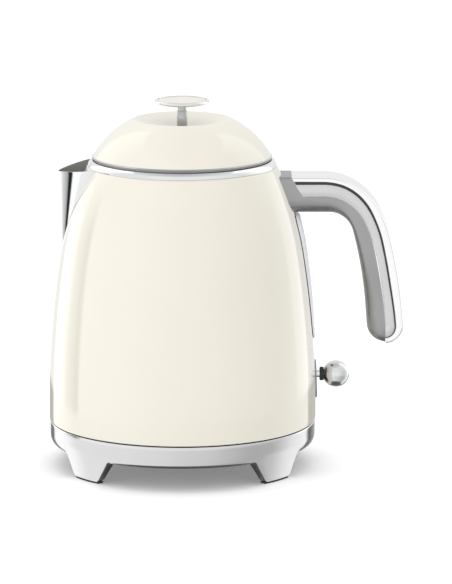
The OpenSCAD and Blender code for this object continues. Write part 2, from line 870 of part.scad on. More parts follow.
// where the collar meets the flat cut on the ball
collar_x = wall_x + plate_out + collar_gap + collar_t;
ball_x = collar_x + ball_d / 2 - 0.1;
module lever_stem() {
    color(bright_metal) placed()
        translate([pivot_x + 4, 0, lever_z]) rotate([0, 90, 0])
            cylinder(h = collar_x + 3 - pivot_x - 4, d = lever_stem_d,
                     $fn = 48);
}

module lever_collar() {
    color(rubber) placed()
        translate([collar_x - collar_t, 0, lever_z]) rotate([0, 90, 0])
            rotate_extrude($fn = 48)
                polygon([[lever_stem_d / 2, 0], [collar_r - collar_bevel, 0],
                         [collar_r, collar_bevel],
                         [collar_r, collar_t - collar_bevel],
                         [collar_r - collar_bevel, collar_t],
                         [lever_stem_d / 2, collar_t]]);
}

module lever_ball() {
    color(bright_metal) placed() difference() {
        translate([ball_x, 0, lever_z]) sphere(d = ball_d, $fn = 64);
        // flat against the collar, and the stem's hole
        translate([collar_x - 10, -10, lever_z - 10]) cube([10, 20, 20]);
        translate([collar_x - 1, 0, lever_z]) rotate([0, 90, 0])
            cylinder(h = 4, d = lever_stem_d, $fn = 48);
    }
}

module lever_plate() {
    z0 = lever_z - plate_low;
    z1 = lever_z + plate_high;
    color(bright_metal) placed() difference() {
        intersection() {
            jug_sheet(fit / 2, plate_out, z0, z1, 5);
            rear_slab(2 * plate_half_w, z0 - 1, z1 + 1);
        }
        rear_slab(2 * slot_half, lever_z - slot_drop - slot_half,
                  lever_z + slot_half);
    }
}

// ---- jug's underside ----

head_r = 2.6;
head_h = 1.2;
module underplate() {
    outer = jug_r(body_bottom) - shell_wall - fit;
    color(dark_plastic) placed() difference() {
        union() {
            ring(outer, cup_r + cup_wall + fit, under_t, body_bottom);
            // foot ring that the jug stands on
            ring(stud_r - 6, stud_r - 10, body_bottom - rest_z + eps, rest_z);
        }
        at_angles(60, 3) translate([stud_r, 0, body_bottom - 1]) {
            cylinder(h = 12, r = 1.5, $fn = 32);
            cylinder(h = 1 + head_h, r = head_r + fit, $fn = 32);
        }
    }
}

module underplate_screws() {
    color(satin_metal) placed()
        at_angles(60, 3) translate([stud_r, 0, body_bottom + 0.1]) {
            cylinder(h = 8, r = 1.4, $fn = 32);
            cylinder(h = head_h - 0.1, r = head_r, $fn = 32);
        }
}

// ---- handle ----

// region right of the handle's root, where the bow and insert lie
module past_root() {
    polygon([[root_top_x, handle_top + 3], [handle_reach + 20, handle_top + 3],
             [handle_reach + 20, handle_bottom - 5],
             [root_low_x, handle_bottom - 5], [root_low_x, root_low_z],
             [root_top_x, handle_top]]);
}

// layer of the handle between two depths, seen from the side
module layer(d0, d1) {
    intersection() {
        polygon(concat(outer_path(d0), turned_back(outer_path(d1))));
        past_root();
    }
}

// extrudes a side view to the width w, centred in Y
module across(w) {
    rotate([90, 0, 0]) linear_extrude(height = w, center = true) children();
}

module handle_bow() {
    color(bright_metal) placed() across(handle_w) layer(0, bow_t);
}

module handle_insert() {
    color(light_plastic) placed() union() {
        across(handle_w) layer(bow_t + groove_w, part_d - eps);
        // rib behind the groove that carries the bow
        across(handle_w - 12) layer(bow_t + eps, bow_t + groove_w + eps);
    }
}

module handle_grip() {
    color(grip_plastic) placed() difference() {
        across(handle_w) difference() {
            polygon(concat(outer_path(0), turned_back(inner_path)));
            layer(-5, part_d);
        }
        jug_solid(fit / 2, handle_bottom, handle_top + 12, 24);
        // pocket for the steel tongue, and the screws' counterbores
        translate([0, -tongue_w / 2 - fit, tongue_z - fit])
            cube([bend_x + 4 + fit, tongue_w + 2 * fit, tongue_t + 2 * fit]);
        for (x = screw_xs) {
            translate([x, 0, tongue_z - 3])
                cylinder(h = 40, d = 3.4, $fn = 32);
            translate([x, 0, screw_seat]) cylinder(h = 20, d = 6.4, $fn = 32);
        }
    }
}

screw_xs = [bend_x - 8, bend_x];
screw_seat = root_low_z - 3;

module handle_tongue() {
    // steel strip welded to the jug, inside the handle's top leg
    color(satin_metal) placed() difference() {
        translate([0, -tongue_w / 2, tongue_z])
            cube([bend_x + 4, tongue_w, tongue_t]);
        jug_solid(fit / 2, handle_bottom, handle_top + 12, 24);
        for (x = screw_xs) translate([x, 0, tongue_z - 1])
            cylinder(h = 4, d = 3, $fn = 32);
    }
}

module handle_screws() {
    color(satin_metal) placed() for (x = screw_xs) {
        translate([x, 0, tongue_z - 2])
            cylinder(h = screw_seat - tongue_z + 2 + eps, d = 3, $fn = 32);
        translate([x, 0, screw_seat]) cylinder(h = 2, d = 6, $fn = 32);
    }
}

// ---- lid ----

dish_steps = 6;
dome_p = [dome_r, dome_z];
dome_q = [dish_r, crease_z];
// radius of the dish's gentle curve, from its depth and width
dish_curve_r = (dish_r * dish_r + dish_depth * dish_depth)
    / (2 * dish_depth);
function dome_arc(off) =
    let (c = arc_centre(dome_p, dome_q, dome_curve_r))
    arc(c, dome_curve_r - off, angle_of(dome_p - c), angle_of(dome_q - c),
        12);
function dish_arc(off) =
    let (c = [0, dish_z + dish_curve_r],
         a = asin(dish_r / dish_curve_r))
    arc(c, dish_curve_r + off, -90 + a, -90, dish_steps);

module lid_dome() {
    hole = stem_d / 2 - 0.95;
    color(paint) placed() difference() {
        rotate_extrude()
            polygon(concat(dome_arc(0), dish_arc(0),
                           turned_back(dish_arc(lid_wall)),
                           [for (p = turned_back(dome_arc(lid_wall)))
                               [p[0], max(p[1], dome_z)]]));
        translate([0, 0, dish_z - 5]) cylinder(h = 10, r = hole, $fn = 48);
    }
}

module lid_rim() {
    color(brushed_metal) placed() rotate_extrude()
        polygon([[liner_r + fit, lid_z], [rim_r - 0.3, lid_z],
                 [rim_r, lid_z + 0.4], [rim_r, lid_z + rim_h - 0.4],
                 [rim_r - 0.3, dome_z], [liner_r + fit, dome_z]]);
}

module lid_liner() {
    // cup that fills the mouth, with vents for steam
    vent_count = 6;
    color(light_plastic) placed() difference() {
        rotate_extrude()
            polygon([[0, liner_z], [liner_r, liner_z],
                     [liner_r, lid_z + rim_h],
                     [liner_r - liner_wall, lid_z + rim_h],
                     [liner_r - liner_wall, liner_z + liner_wall],
                     [0, liner_z + liner_wall]]);
        at_angles(0, vent_count) translate([18, 0, liner_z - 1])
            cylinder(h = 5, r = 2.2, $fn = 32);
    }
}

module lid_seal() {
    color(rubber) placed()
        ring(liner_r + seal_t, liner_r + fit / 2, 3.5, liner_z + 1);
}

module knob_stem() {
    neck_h = 3;
    // the dish slopes up to the stem's edge along its innermost chord
    foot_z = dish_z + eps
        + stem_d / 2 * tan(asin(dish_r / dish_curve_r) / (2 * dish_steps));
    color(bright_metal) placed() rotate_extrude()
        polygon([[0, dish_z - 6], [stem_d / 2 - 1, dish_z - 6],
                 [stem_d / 2 - 1, foot_z], [stem_d / 2, foot_z],
                 [stem_d / 2, disc_z - neck_h],
                 [stem_d / 2 - 0.5, disc_z - neck_h],
                 [stem_d / 2 - 0.5, disc_z], [0, disc_z]]);
}

module knob_disc() {
    r = knob_d / 2;
    lip = 1.2;
    depth = 1;
    inlay_r = r - knob_edge;
    // the underside is a shallow bowl that meets the stem's neck
    bowl = [for (i = [0:8]) let (a = 90 * i / 8)
        [r * 0.4 + r * 0.6 * sin(a),
         knob_top - lip - (knob_h - lip) * cos(a)]];
    color(bright_metal) placed() rotate_extrude()
        polygon(concat(
            [[0, disc_z]], bowl,
            arc([r - lip, knob_top - lip], lip, 0, 90, 6),
            [[inlay_r, knob_top], [inlay_r, knob_top - depth],
             [0, knob_top - depth]]));
}

module knob_inlay() {
    color(paint) placed() translate([0, 0, knob_top - 1])
        cylinder(h = 0.9, r = knob_d / 2 - knob_edge - fit);
}

module knob_nut() {
    color(satin_metal) placed() difference() {
        translate([0, 0, dish_z - lid_wall - 3])
            cylinder(h = 3, r = 4.4, $fn = 6);
        translate([0, 0, dish_z - 8])
            cylinder(h = 12, r = stem_d / 2 - 1 + fit / 2, $fn = 48);
    }
}

foot_pads();
base_ring();
base_pan();
base_deck();
base_connector();
base_contacts();
cord_gland();
cord_clamp();
clamp_screws();
base_screws();
jug_connector();
jug_contacts();
jug_shell();
collar_ring();
spout();
spout_filter();
water_gauge();
gauge_gasket();
floor_plate();
diffuser_plate();
heating_element();
element_terminals();
steam_tube();
control_body();
bimetal_discs();
control_screws();
rocker();
rocker_pin();
lever_bracket();
lever_pivot();
lever_arm();
lever_stem();
lever_collar();
lever_ball();
lever_plate();
underplate();
underplate_screws();
handle_tongue();
handle_grip();
handle_insert();
handle_bow();
handle_screws();
lid_dome();
lid_rim();
lid_liner();
lid_seal();
knob_stem();
knob_disc();
knob_inlay();
knob_nut();
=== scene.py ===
"""Small retro electric kettle: the looks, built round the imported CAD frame.

Lengths are in metres, and MM turns millimetres into them. Heights are
above the table, and radii and angles are taken about the jug's own
upright axis.
"""

import math

import bmesh
import bpy
import numpy as np
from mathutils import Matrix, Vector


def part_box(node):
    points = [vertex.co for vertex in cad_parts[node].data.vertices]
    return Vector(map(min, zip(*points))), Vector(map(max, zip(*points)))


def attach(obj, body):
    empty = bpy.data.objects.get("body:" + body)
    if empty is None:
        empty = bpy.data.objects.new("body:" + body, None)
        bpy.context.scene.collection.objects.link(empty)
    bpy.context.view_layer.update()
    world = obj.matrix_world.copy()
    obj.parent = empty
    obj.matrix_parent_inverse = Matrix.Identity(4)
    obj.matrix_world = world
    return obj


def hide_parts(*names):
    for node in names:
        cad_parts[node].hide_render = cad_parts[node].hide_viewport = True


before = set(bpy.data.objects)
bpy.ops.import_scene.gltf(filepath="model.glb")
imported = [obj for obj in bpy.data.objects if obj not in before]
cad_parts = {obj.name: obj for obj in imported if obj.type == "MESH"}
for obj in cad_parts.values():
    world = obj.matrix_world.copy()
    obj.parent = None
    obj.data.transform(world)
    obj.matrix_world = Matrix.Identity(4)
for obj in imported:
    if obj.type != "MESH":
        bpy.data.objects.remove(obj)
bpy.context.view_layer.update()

MM = 0.001


# ---------------------------------------------------------------- camera
# A long lens a little above the kettle, square to the line from spout to
# handle. It looks at a point on the jug's axis plane, about half way up.
def middle_x(node):
    """Half way between a node's lowest and highest X."""
    low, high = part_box(node)
    return (low.x + high.x) / 2


axis_x = middle_x("base_connector")
camera_data = bpy.data.cameras.new("studio_camera")
camera_data.sensor_width = 36
camera_data.lens = 269.2
camera_data.clip_end = 20
camera = bpy.data.objects.new("studio_camera", camera_data)
camera.location = (axis_x + 0.0250, -2.4564, 0.5907)
aim_height = 0.1003
camera_drop = math.atan2(camera.location.z - aim_height, -camera.location.y)
camera.rotation_euler = (math.pi / 2 - camera_drop, 0, 0)
bpy.context.scene.collection.objects.link(camera)
bpy.context.scene.camera = camera


# ---------------------------------------------------------------- studio
# A pale floor, a key from the left that casts no shadow and a wide light
# overhead. A tall light tent stands round the kettle for its reflections
# only: white panels with dark gaps between them.
def add_area_light(name, place, aim, size, power, casts_shadow):
    """A square area light at place, turned to face aim."""
    data = bpy.data.lights.new(name, "AREA")
    data.shape = "RECTANGLE"
    data.size, data.size_y = size
    data.energy = power
    light = bpy.data.objects.new(name, data)
    light.location = place
    direction = np.subtract(aim, place)
    level = math.hypot(direction[0], direction[1])
    light.rotation_euler = (math.atan2(level, -direction[2]), 0,
                            math.atan2(direction[1], direction[0]) - math.pi / 2)
    light.visible_camera = False
    light.visible_glossy = False
    data.use_shadow = casts_shadow
    bpy.context.scene.collection.objects.link(light)
    return light


kettle_middle = (axis_x, 0, 0.1)
add_area_light("key_light", (-1.5, -1.2, 1.1), kettle_middle, (1.2, 1.2), 9, False)
add_area_light("top_light", (0, 0.2, 1.8), kettle_middle, (1.6, 1.6), 7, True)

world = bpy.data.worlds.new("studio_air")
world.use_nodes = True
world.node_tree.nodes["Background"].inputs["Color"].default_value = (1, 1, 1, 1)
world.node_tree.nodes["Background"].inputs["Strength"].default_value = 1.0
bpy.context.scene.world = world
bpy.context.scene.view_settings.view_transform = "Standard"
bpy.context.scene.view_settings.look = "None"


def mesh_object(name, points, faces):
    """An object from arrays of points and of four-cornered faces."""
    mesh = bpy.data.meshes.new(name)
    mesh.from_pydata(points.tolist(), [], faces.tolist())
    mesh.validate()
    made = bpy.data.objects.new(name, mesh)
    bpy.context.scene.collection.objects.link(made)
    return made


floor_reach = 9
floor_corners = np.array([(-1, -1, 0), (1, -1, 0), (1, 1, 0), (-1, 1, 0)]) * floor_reach
floor = mesh_object("floor", floor_corners, np.array([(0, 1, 2, 3)]))
floor_paint = bpy.data.materials.new("floor_paint")
floor_paint.use_nodes = True
floor_shader = floor_paint.node_tree.nodes["Principled BSDF"]
floor_shader.inputs["Base Color"].default_value = (0.93, 0.93, 0.93, 1)
floor_shader.inputs["Roughness"].default_value = 0.9
floor_shader.inputs["Specular IOR Level"].default_value = 0.1
# a little light of its own, as from a lit table, keeps the shadow pale
floor_shader.inputs["Emission Color"].default_value = (1, 1, 1, 1)
floor_shader.inputs["Emission Strength"].default_value = 0.12
floor.data.materials.append(floor_paint)
floor.visible_glossy = False

tent_radius, tent_low, tent_high = 0.6, -0.9, 1.1
# brightness round the tent, by bearing in degrees from the camera's side,
# positive towards the handle: its lower, middle and upper wall
lower_panels = [
    (-180, 0.75), (-160, 0.45), (-141, 0.03), (-139.5, 1.40), (-114, 1.35),
    (-100, 1.08), (-55, 1.02), (-20, 0.95), (20, 0.80), (58, 0.55),
    (80, 0.58), (106, 1.05), (134, 1.25), (135.5, 0.03), (152, 0.35),
    (180, 0.75)]
middle_panels = [
    (-180, 0.88), (-155, 0.90), (-141, 0.85), (-139, 1.85), (-119, 1.65),
    (-112, 0.90), (-103, 0.45), (-101.5, 0.02), (-96, 0.02), (-94, 1.25),
    (-50, 1.15), (-20, 1.08), (25, 1.04), (62, 0.78), (88, 0.76),
    (112, 1.20), (115, 1.60), (136, 1.75), (138, 0.90), (180, 0.88)]
upper_panels = [
    (-180, 0.90), (-142, 0.92), (-138, 1.40), (-112, 1.30), (-90, 0.90),
    (-30, 0.98), (30, 0.95), (85, 0.85), (108, 1.20), (136, 1.35),
    (142, 0.92), (180, 0.90)]
# heights between which each pattern gives way to the one above it
panel_splits = ((-0.073, -0.066), (0.20, 0.36))


def tent_material():
    """Light whose strength follows the bearing about the tent's axis,
    in three patterns that give way to one another with height."""
    made = bpy.data.materials.new("tent_panels")
    made.use_nodes = True
    nodes, links = made.node_tree.nodes, made.node_tree.links
    nodes.clear()
    place = nodes.new("ShaderNodeTexCoord")
    parts = nodes.new("ShaderNodeSeparateXYZ")
    links.new(place.outputs["Object"], parts.inputs["Vector"])
    flipped = nodes.new("ShaderNodeMath")
    flipped.operation = "MULTIPLY"
    flipped.inputs[1].default_value = -1
    links.new(parts.outputs["Y"], flipped.inputs[0])
    bearing = nodes.new("ShaderNodeMath")
    bearing.operation = "ARCTAN2"
    links.new(parts.outputs["X"], bearing.inputs[0])
    links.new(flipped.outputs[0], bearing.inputs[1])
    share = nodes.new("ShaderNodeMapRange")
    share.inputs["From Min"].default_value = -math.pi
    share.inputs["From Max"].default_value = math.pi
    links.new(bearing.outputs[0], share.inputs["Value"])
    patterns = (lower_panels, middle_panels, upper_panels)
    top = max(level for panels in patterns for _, level in panels)
    walls = []
    for panels in patterns:
        ramp = nodes.new("ShaderNodeValToRGB")
        links.new(share.outputs["Result"], ramp.inputs["Fac"])
        stops = ramp.color_ramp.elements
        stops[0].position, stops[1].position = 0, 1
        for stop, level in ((stops[0], panels[0][1]), (stops[1], panels[-1][1])):
            stop.color = (level / top, level / top, level / top, 1)
        for angle, level in panels[1:-1]:
            stop = stops.new((angle + 180) / 360)
            stop.color = (level / top, level / top, level / top, 1)
        walls.append(ramp.outputs["Color"])
    mixed = walls[0]
    for above, (low, high) in zip(walls[1:], panel_splits):
        height = nodes.new("ShaderNodeMapRange")
        height.inputs["From Min"].default_value = low
        height.inputs["From Max"].default_value = high
        links.new(parts.outputs["Z"], height.inputs["Value"])
        mix = nodes.new("ShaderNodeMix")
        mix.data_type = "RGBA"
        links.new(height.outputs["Result"], mix.inputs["Factor"])
        links.new(mixed, mix.inputs["A"])
        links.new(above, mix.inputs["B"])
        mixed = mix.outputs["Result"]
    glow = nodes.new("ShaderNodeEmission")
    glow.inputs["Strength"].default_value = top
    links.new(mixed, glow.inputs["Color"])
    out = nodes.new("ShaderNodeOutputMaterial")
    links.new(glow.outputs[0], out.inputs["Surface"])
    made.cycles.emission_sampling = "NONE"
    return made


tent_sides = 96
tent_turns = np.linspace(0, 2 * np.pi, tent_sides, endpoint=False)
tent_rings = np.array([[np.cos(tent_turns) * tent_radius,
                        np.sin(tent_turns) * tent_radius,
                        np.full_like(tent_turns, height)]
                       for height in (tent_low, tent_high)])
tent_points = tent_rings.transpose(0, 2, 1).reshape(-1, 3)
side = np.arange(tent_sides)
next_side = (side + 1) % tent_sides
tent_faces = np.stack([side, side + tent_sides, next_side + tent_sides,
                       next_side], 1)
tent = mesh_object("tent", tent_points, tent_faces)
tent.data.materials.append(tent_material())


def stage_for_reflections(made):
    """Puts an object in the studio that only reflections can see."""
    for ray in ("camera", "diffuse", "transmission", "volume_scatter", "shadow"):
        setattr(made, "visible_" + ray, False)


stage_for_reflections(tent)


def tent_disc(name, height, radius, middle_level, edge_level):
    """A round panel, level with the table, seen in reflections only. Its
    light changes evenly from its middle to its edge."""
    spokes = np.stack([np.cos(tent_turns), np.sin(tent_turns)], 1) * radius
    points = np.vstack([np.column_stack([spokes, np.full(tent_sides, height)]),
                        [(0, 0, height)]])
    faces = np.stack([side, next_side, np.full(tent_sides, tent_sides)], 1)
    made = mesh_object(name, points + (axis_x, 0, 0), faces)
    paint = bpy.data.materials.new(name + "_glow")
    paint.use_nodes = True
    nodes = paint.node_tree.nodes
    nodes.clear()
    links = paint.node_tree.links
    place = nodes.new("ShaderNodeTexCoord")
    level_place = nodes.new("ShaderNodeMapping")
    level_place.inputs["Location"].default_value = (-axis_x, 0, 0)
    level_place.inputs["Scale"].default_value = (1, 1, 0)
    links.new(place.outputs["Object"], level_place.inputs["Vector"])
    away = nodes.new("ShaderNodeVectorMath")
    away.operation = "LENGTH"
    links.new(level_place.outputs["Vector"], away.inputs[0])
    fade = nodes.new("ShaderNodeMapRange")
    fade.inputs["From Max"].default_value = radius
    fade.inputs["To Min"].default_value = middle_level
    fade.inputs["To Max"].default_value = edge_level
    links.new(away.outputs["Value"], fade.inputs["Value"])
    glow = nodes.new("ShaderNodeEmission")
    links.new(fade.outputs["Result"], glow.inputs["Strength"])
    out = nodes.new("ShaderNodeOutputMaterial")
    links.new(glow.outputs[0], out.inputs["Surface"])
    paint.cycles.emission_sampling = "NONE"
    made.data.materials.append(paint)
    stage_for_reflections(made)


tent_disc("tent_top", tent_high, tent_radius * 1.1, 0.55, 0.85)
tent_disc("tent_foot", tent_low, tent_radius * 1.1, 0.10, 0.14)
# the kettle's own shadow on the table, as its feet would mirror it
tent_disc("under_shadow", 0.0004, 0.066, 0.03, 0.08)


# ------------------------------------------------------------- base ring
# One casting of satin aluminium: an upright ring that carries the deck,
# with its lower edge rolled in, drawn down at four places into thin feet
# that lean in to the table.
def grid_faces(rows, columns, wrap_rows, wrap_columns):
    """Corner numbers of the quads over a grid of points. Wrapping joins
    the last row or column to the first."""
    index = np.arange(rows * columns).reshape(rows, columns)
    if wrap_rows:
        index = np.vstack([index, index[:1]])
    if wrap_columns:
        index = np.hstack([index, index[:, :1]])
    return np.stack([index[:-1, :-1], index[:-1, 1:], index[1:, 1:],
                     index[1:, :-1]], -1).reshape(-1, 4)


def grid_object(name, grid, wrap_rows=False, wrap_columns=False):
    """A skin of quads over a grid of points, rows by columns. Poles,
    where a whole row is one point, are merged, and the skin is turned to
    face outwards."""
    faces = grid_faces(*grid.shape[:2], wrap_rows, wrap_columns)
    points = grid.reshape(-1, 3)
    a, b, c, d = (points[faces[:, corner]] for corner in range(4))
    volume = (np.einsum("ij,ij->", a, np.cross(b, c))
              + np.einsum("ij,ij->", a, np.cross(c, d)))
    if volume < 0:
        faces = faces[:, ::-1]
    made = mesh_object(name, points, faces)
    merge_close(made)
    return made


def merge_close(made, distance=1e-6, crease=40):
    """Merges points that lie together, then shades smooth but for edges
    sharper than the crease angle in degrees."""
    work = bmesh.new()
    work.from_mesh(made.data)
    bmesh.ops.remove_doubles(work, verts=work.verts, dist=distance)
    bmesh.ops.dissolve_degenerate(work, edges=work.edges, dist=distance / 10)
    work.to_mesh(made.data)
    work.free()
    made.data.shade_smooth()
    made.data.set_sharp_from_angle(angle=math.radians(crease))


def surface_material(name, dark, light, roughness, metallic=0.0, grain=900.0,
                     grain_depth=0.05, blotch=30.0, roughness_spread=0.05,
                     stretch=(1, 1, 1), coat=0.0, specular=0.5):
    """A finish whose colour drifts between dark and light in broad
    blotches, and whose roughness and fine relief follow a small grain.
    The grain is drawn out along an axis by a stretch below 1."""
    made = bpy.data.materials.new(name)
    made.use_nodes = True
    nodes, links = made.node_tree.nodes, made.node_tree.links
    shader = nodes["Principled BSDF"]
    shader.inputs["Metallic"].default_value = metallic
    shader.inputs["Coat Weight"].default_value = coat
    shader.inputs["Coat Roughness"].default_value = 0.04
    shader.inputs["Specular IOR Level"].default_value = specular
    place = nodes.new("ShaderNodeTexCoord")
    scaled = nodes.new("ShaderNodeMapping")
    scaled.inputs["Scale"].default_value = stretch
    links.new(place.outputs["Object"], scaled.inputs["Vector"])
    broad = nodes.new("ShaderNodeTexNoise")
    broad.inputs["Scale"].default_value = blotch
    broad.inputs["Detail"].default_value = 3
    links.new(place.outputs["Object"], broad.inputs["Vector"])
    tones = nodes.new("ShaderNodeValToRGB")
    tones.color_ramp.elements[0].position = 0.3
    tones.color_ramp.elements[0].color = (*dark, 1)
    tones.color_ramp.elements[1].position = 0.7
    tones.color_ramp.elements[1].color = (*light, 1)
    links.new(broad.outputs["Fac"], tones.inputs["Fac"])
    links.new(tones.outputs["Color"], shader.inputs["Base Color"])
    fine = nodes.new("ShaderNodeTexNoise")
    fine.inputs["Scale"].default_value = grain
    fine.inputs["Detail"].default_value = 4
    links.new(scaled.outputs["Vector"], fine.inputs["Vector"])
    polish = nodes.new("ShaderNodeMapRange")
    polish.inputs["To Min"].default_value = max(0.02, roughness - roughness_spread)
    polish.inputs["To Max"].default_value = roughness + roughness_spread
    links.new(fine.outputs["Fac"], polish.inputs["Value"])
    links.new(polish.outputs["Result"], shader.inputs["Roughness"])
    relief = nodes.new("ShaderNodeBump")
    relief.inputs["Strength"].default_value = grain_depth
    relief.inputs["Distance"].default_value = 0.0002
    links.new(fine.outputs["Fac"], relief.inputs["Height"])
    links.new(relief.outputs["Normal"], shader.inputs["Normal"])
    return made


def finish_piece(made, material, body, slot_name, *replaced):
    """Gives a new piece its material and its body, and says which CAD nodes
    it stands for. Its record slot, slot_name, is not used."""
    made.data.materials.clear()
    made.data.materials.append(material)
    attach(made, body)
    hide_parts(*replaced)
    return made


def dress_nodes(material, *names):
    """Puts a material on CAD nodes that keep their own shape."""
    for name in names:
        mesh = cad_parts[name].data
        mesh.materials.clear()
        mesh.materials.append(material)


ring_low, ring_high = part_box("base_ring")
ring_r = (ring_high.y - ring_low.y) / 2
ring_top = ring_high.z
foot_low = ring_low.z
ring_edge = 13.9 * MM
ring_wall = 3 * MM
roll_in, roll_up = 2.6 * MM, 5.2 * MM
foot_lean = 4.2 * MM
foot_thick = 4.4 * MM
# bearings from the line through spout and handle, at the ring and at the
# table, of the foot's side towards that line and of its side away from it
foot_near_side = np.radians([28.2, 31.5])
foot_far_side = np.radians([56.3, 48.5])
deck_ledge = ring_edge + 1 * MM


def between(start, end, count):
    """Count points from start up to, and without, end."""
    share = np.arange(count)[:, None] / count
    return np.asarray(start) * (1 - share) + np.asarray(end) * share


def arc_points(centre, radius, first, last, count):
    """Count points of an arc, angles in degrees, without its last."""
    turn = np.radians(first + (last - first) * np.arange(count) / count)
    return np.asarray(centre) + radius * np.stack([np.cos(turn), np.sin(turn)], 1)


def rolled_edge(count):
    """A quarter of an ellipse from the ring's side in to its lower edge."""
    turn = np.radians(90 * np.arange(count) / count)
    return np.stack([ring_r - roll_in + roll_in * np.cos(turn),
                     ring_edge + roll_up - roll_up * np.sin(turn)], 1)


def ring_section(foot):
    """Closed section of the casting as (radius, height) points, either
    through the rolled lower edge (foot False) or through a foot."""
    inner = ring_r - ring_wall
    top_round = 0.7 * MM
    top = np.vstack([
        between((inner, ring_top), (ring_r - top_round, ring_top), 3),
        arc_points((ring_r - top_round, ring_top - top_round), top_round,
                   90, 0, 6),
        between((ring_r, ring_top - top_round), (ring_r, ring_edge + roll_up), 4)])
    if foot:
        toe = 0.9 * MM
        lean_r = ring_r - foot_lean
        lower = np.vstack([
            between((ring_r, ring_edge + roll_up), (lean_r, foot_low + toe), 14),
            arc_points((lean_r - toe, foot_low + toe), toe, 0, -90, 6)])
        sole = between((lean_r - toe, foot_low),
                       (lean_r - foot_thick, foot_low), 4)
        rise = between((lean_r - foot_thick, foot_low),
                       (inner - 0.4 * MM, deck_ledge), 8)
    else:
        lower = rolled_edge(20)
        sole = between((ring_r - roll_in, ring_edge),
                       (inner - 5.5 * MM, ring_edge), 4)
        rise = between((inner - 5.5 * MM, ring_edge),
                       (inner - 5.5 * MM, deck_ledge), 8)
    back = between(rise[-1], (inner, deck_ledge), 3)[1:]
    wall = between((inner, deck_ledge), (inner, ring_top), 4)
    return np.vstack([top, lower, sole, rise, back, wall])


def foot_share(bearing):
    """How far each bearing is drawn down into a foot: 1 in the middle of
    a foot, 0 between feet, straight down the slanted sides, with the
    corners eased by averaging over a short arc."""
    ease = np.radians(np.linspace(-1.1, 1.1, 13))
    turned = bearing[:, None] + ease
    aside = np.arccos(np.abs(np.cos(turned)))
    near = (aside - foot_near_side[0]) / (foot_near_side[1] - foot_near_side[0])
    far = (aside - foot_far_side[0]) / (foot_far_side[1] - foot_far_side[0])
    return np.clip(np.minimum(near, far), 0, 1).mean(1)


def carried_round(sections, bearings):
    """Places one (radius, height) section at each bearing about the
    jug's axis; sections is bearings by points by 2."""
    radius, height = sections[..., 0], sections[..., 1]
    turn = bearings[:, None]
    return np.stack([axis_x + radius * np.cos(turn), radius * np.sin(turn),
                     height], -1)


ring_bearings = np.linspace(0, 2 * np.pi, 1080, endpoint=False)
drawn_down = foot_share(ring_bearings)[:, None, None]
ring_sections = (ring_section(False) * (1 - drawn_down)
                 + ring_section(True) * drawn_down)
base_ring = grid_object("base_ring_casting",
                        carried_round(ring_sections, ring_bearings),
                        wrap_rows=True, wrap_columns=True)
satin_aluminium = surface_material(
    "satin_aluminium", (0.68, 0.68, 0.685), (0.72, 0.72, 0.725), 0.13,
    metallic=1, grain=2200, grain_depth=0.12, roughness_spread=0.04,
    stretch=(1, 1, 0.6))
finish_piece(base_ring, satin_aluminium, "base", "satin_metal", "base_ring")
# painted shade: a near-black metal for the ring's hidden faces, standing in for the shade
# under and inside it
cast_aluminium = surface_material(
    "cast_aluminium", (0.10, 0.10, 0.105), (0.16, 0.16, 0.165), 0.45,
    metallic=0.6, grain=1800, grain_depth=0.3)
base_ring.data.materials.append(cast_aluminium)
# painted shade: the faces low on the ring that do not face outwards, on the feet's sides,
# within them and under the ring, take the second, near-black metal, which stands in for
# the shade there
for face in base_ring.data.polygons:
    spoke = (face.center.x - axis_x, face.center.y)
    facing = ((spoke[0] * face.normal.x + spoke[1] * face.normal.y)
              / math.hypot(*spoke))
    if face.center.z < ring_edge + roll_up and facing < 0.25:
        face.material_index = 1


# --------------------------------------------------- base's inner pieces
# Dark moulded pan, deck and connector, with brass contact rings, zinc
# screws and rubber pads and cord gland: all as the frame has them.
dark_moulding = surface_material(
    "dark_moulding", (0.028, 0.029, 0.031), (0.04, 0.041, 0.044), 0.5,
    grain=1600, grain_depth=0.25)
black_rubber = surface_material(
    "black_rubber", (0.018, 0.018, 0.018), (0.03, 0.03, 0.03), 0.75,
    grain=2600, grain_depth=0.3)
zinc_plate = surface_material(
    "zinc_plate", (0.5, 0.51, 0.53), (0.62, 0.63, 0.64), 0.32, metallic=1,
    grain=1800, grain_depth=0.15, blotch=200)
contact_brass = surface_material(
    "contact_brass", (0.62, 0.42, 0.16), (0.74, 0.53, 0.24), 0.25,
    metallic=1, grain=1500, grain_depth=0.1, blotch=150)
dress_nodes(dark_moulding, "base_pan", "base_deck", "base_connector",
            "cord_clamp", "jug_connector", "control_body", "lever_bracket",
            "lever_arm", "underplate")
dress_nodes(black_rubber, "foot_pads", "cord_gland", "gauge_gasket")
dress_nodes(zinc_plate, "base_screws", "clamp_screws", "control_screws",
            "underplate_screws", "handle_screws", "knob_nut")
dress_nodes(contact_brass, "base_contacts", "jug_contacts")


# ------------------------------------------------------------- jug shell
# Deep-drawn steel, a millimetre thick, in glossy cream enamel outside and
# bare steel inside. Slots are cut for the pouring window, the water gauge
# and the lever's stem.
shell_low, shell_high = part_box("jug_shell")
# a hair inside the frame's jug, whose skin is drawn in flats
jug_r = (shell_high.y - shell_low.y) / 2 - 0.03 * MM
jug_bottom, jug_top = shell_low.z, shell_high.z
flank_r = 605 * MM
shoulder_r = 200 * MM
widest = jug_bottom + 3 * MM
shoulder_start = jug_bottom + 95 * MM
sheet = 1 * MM


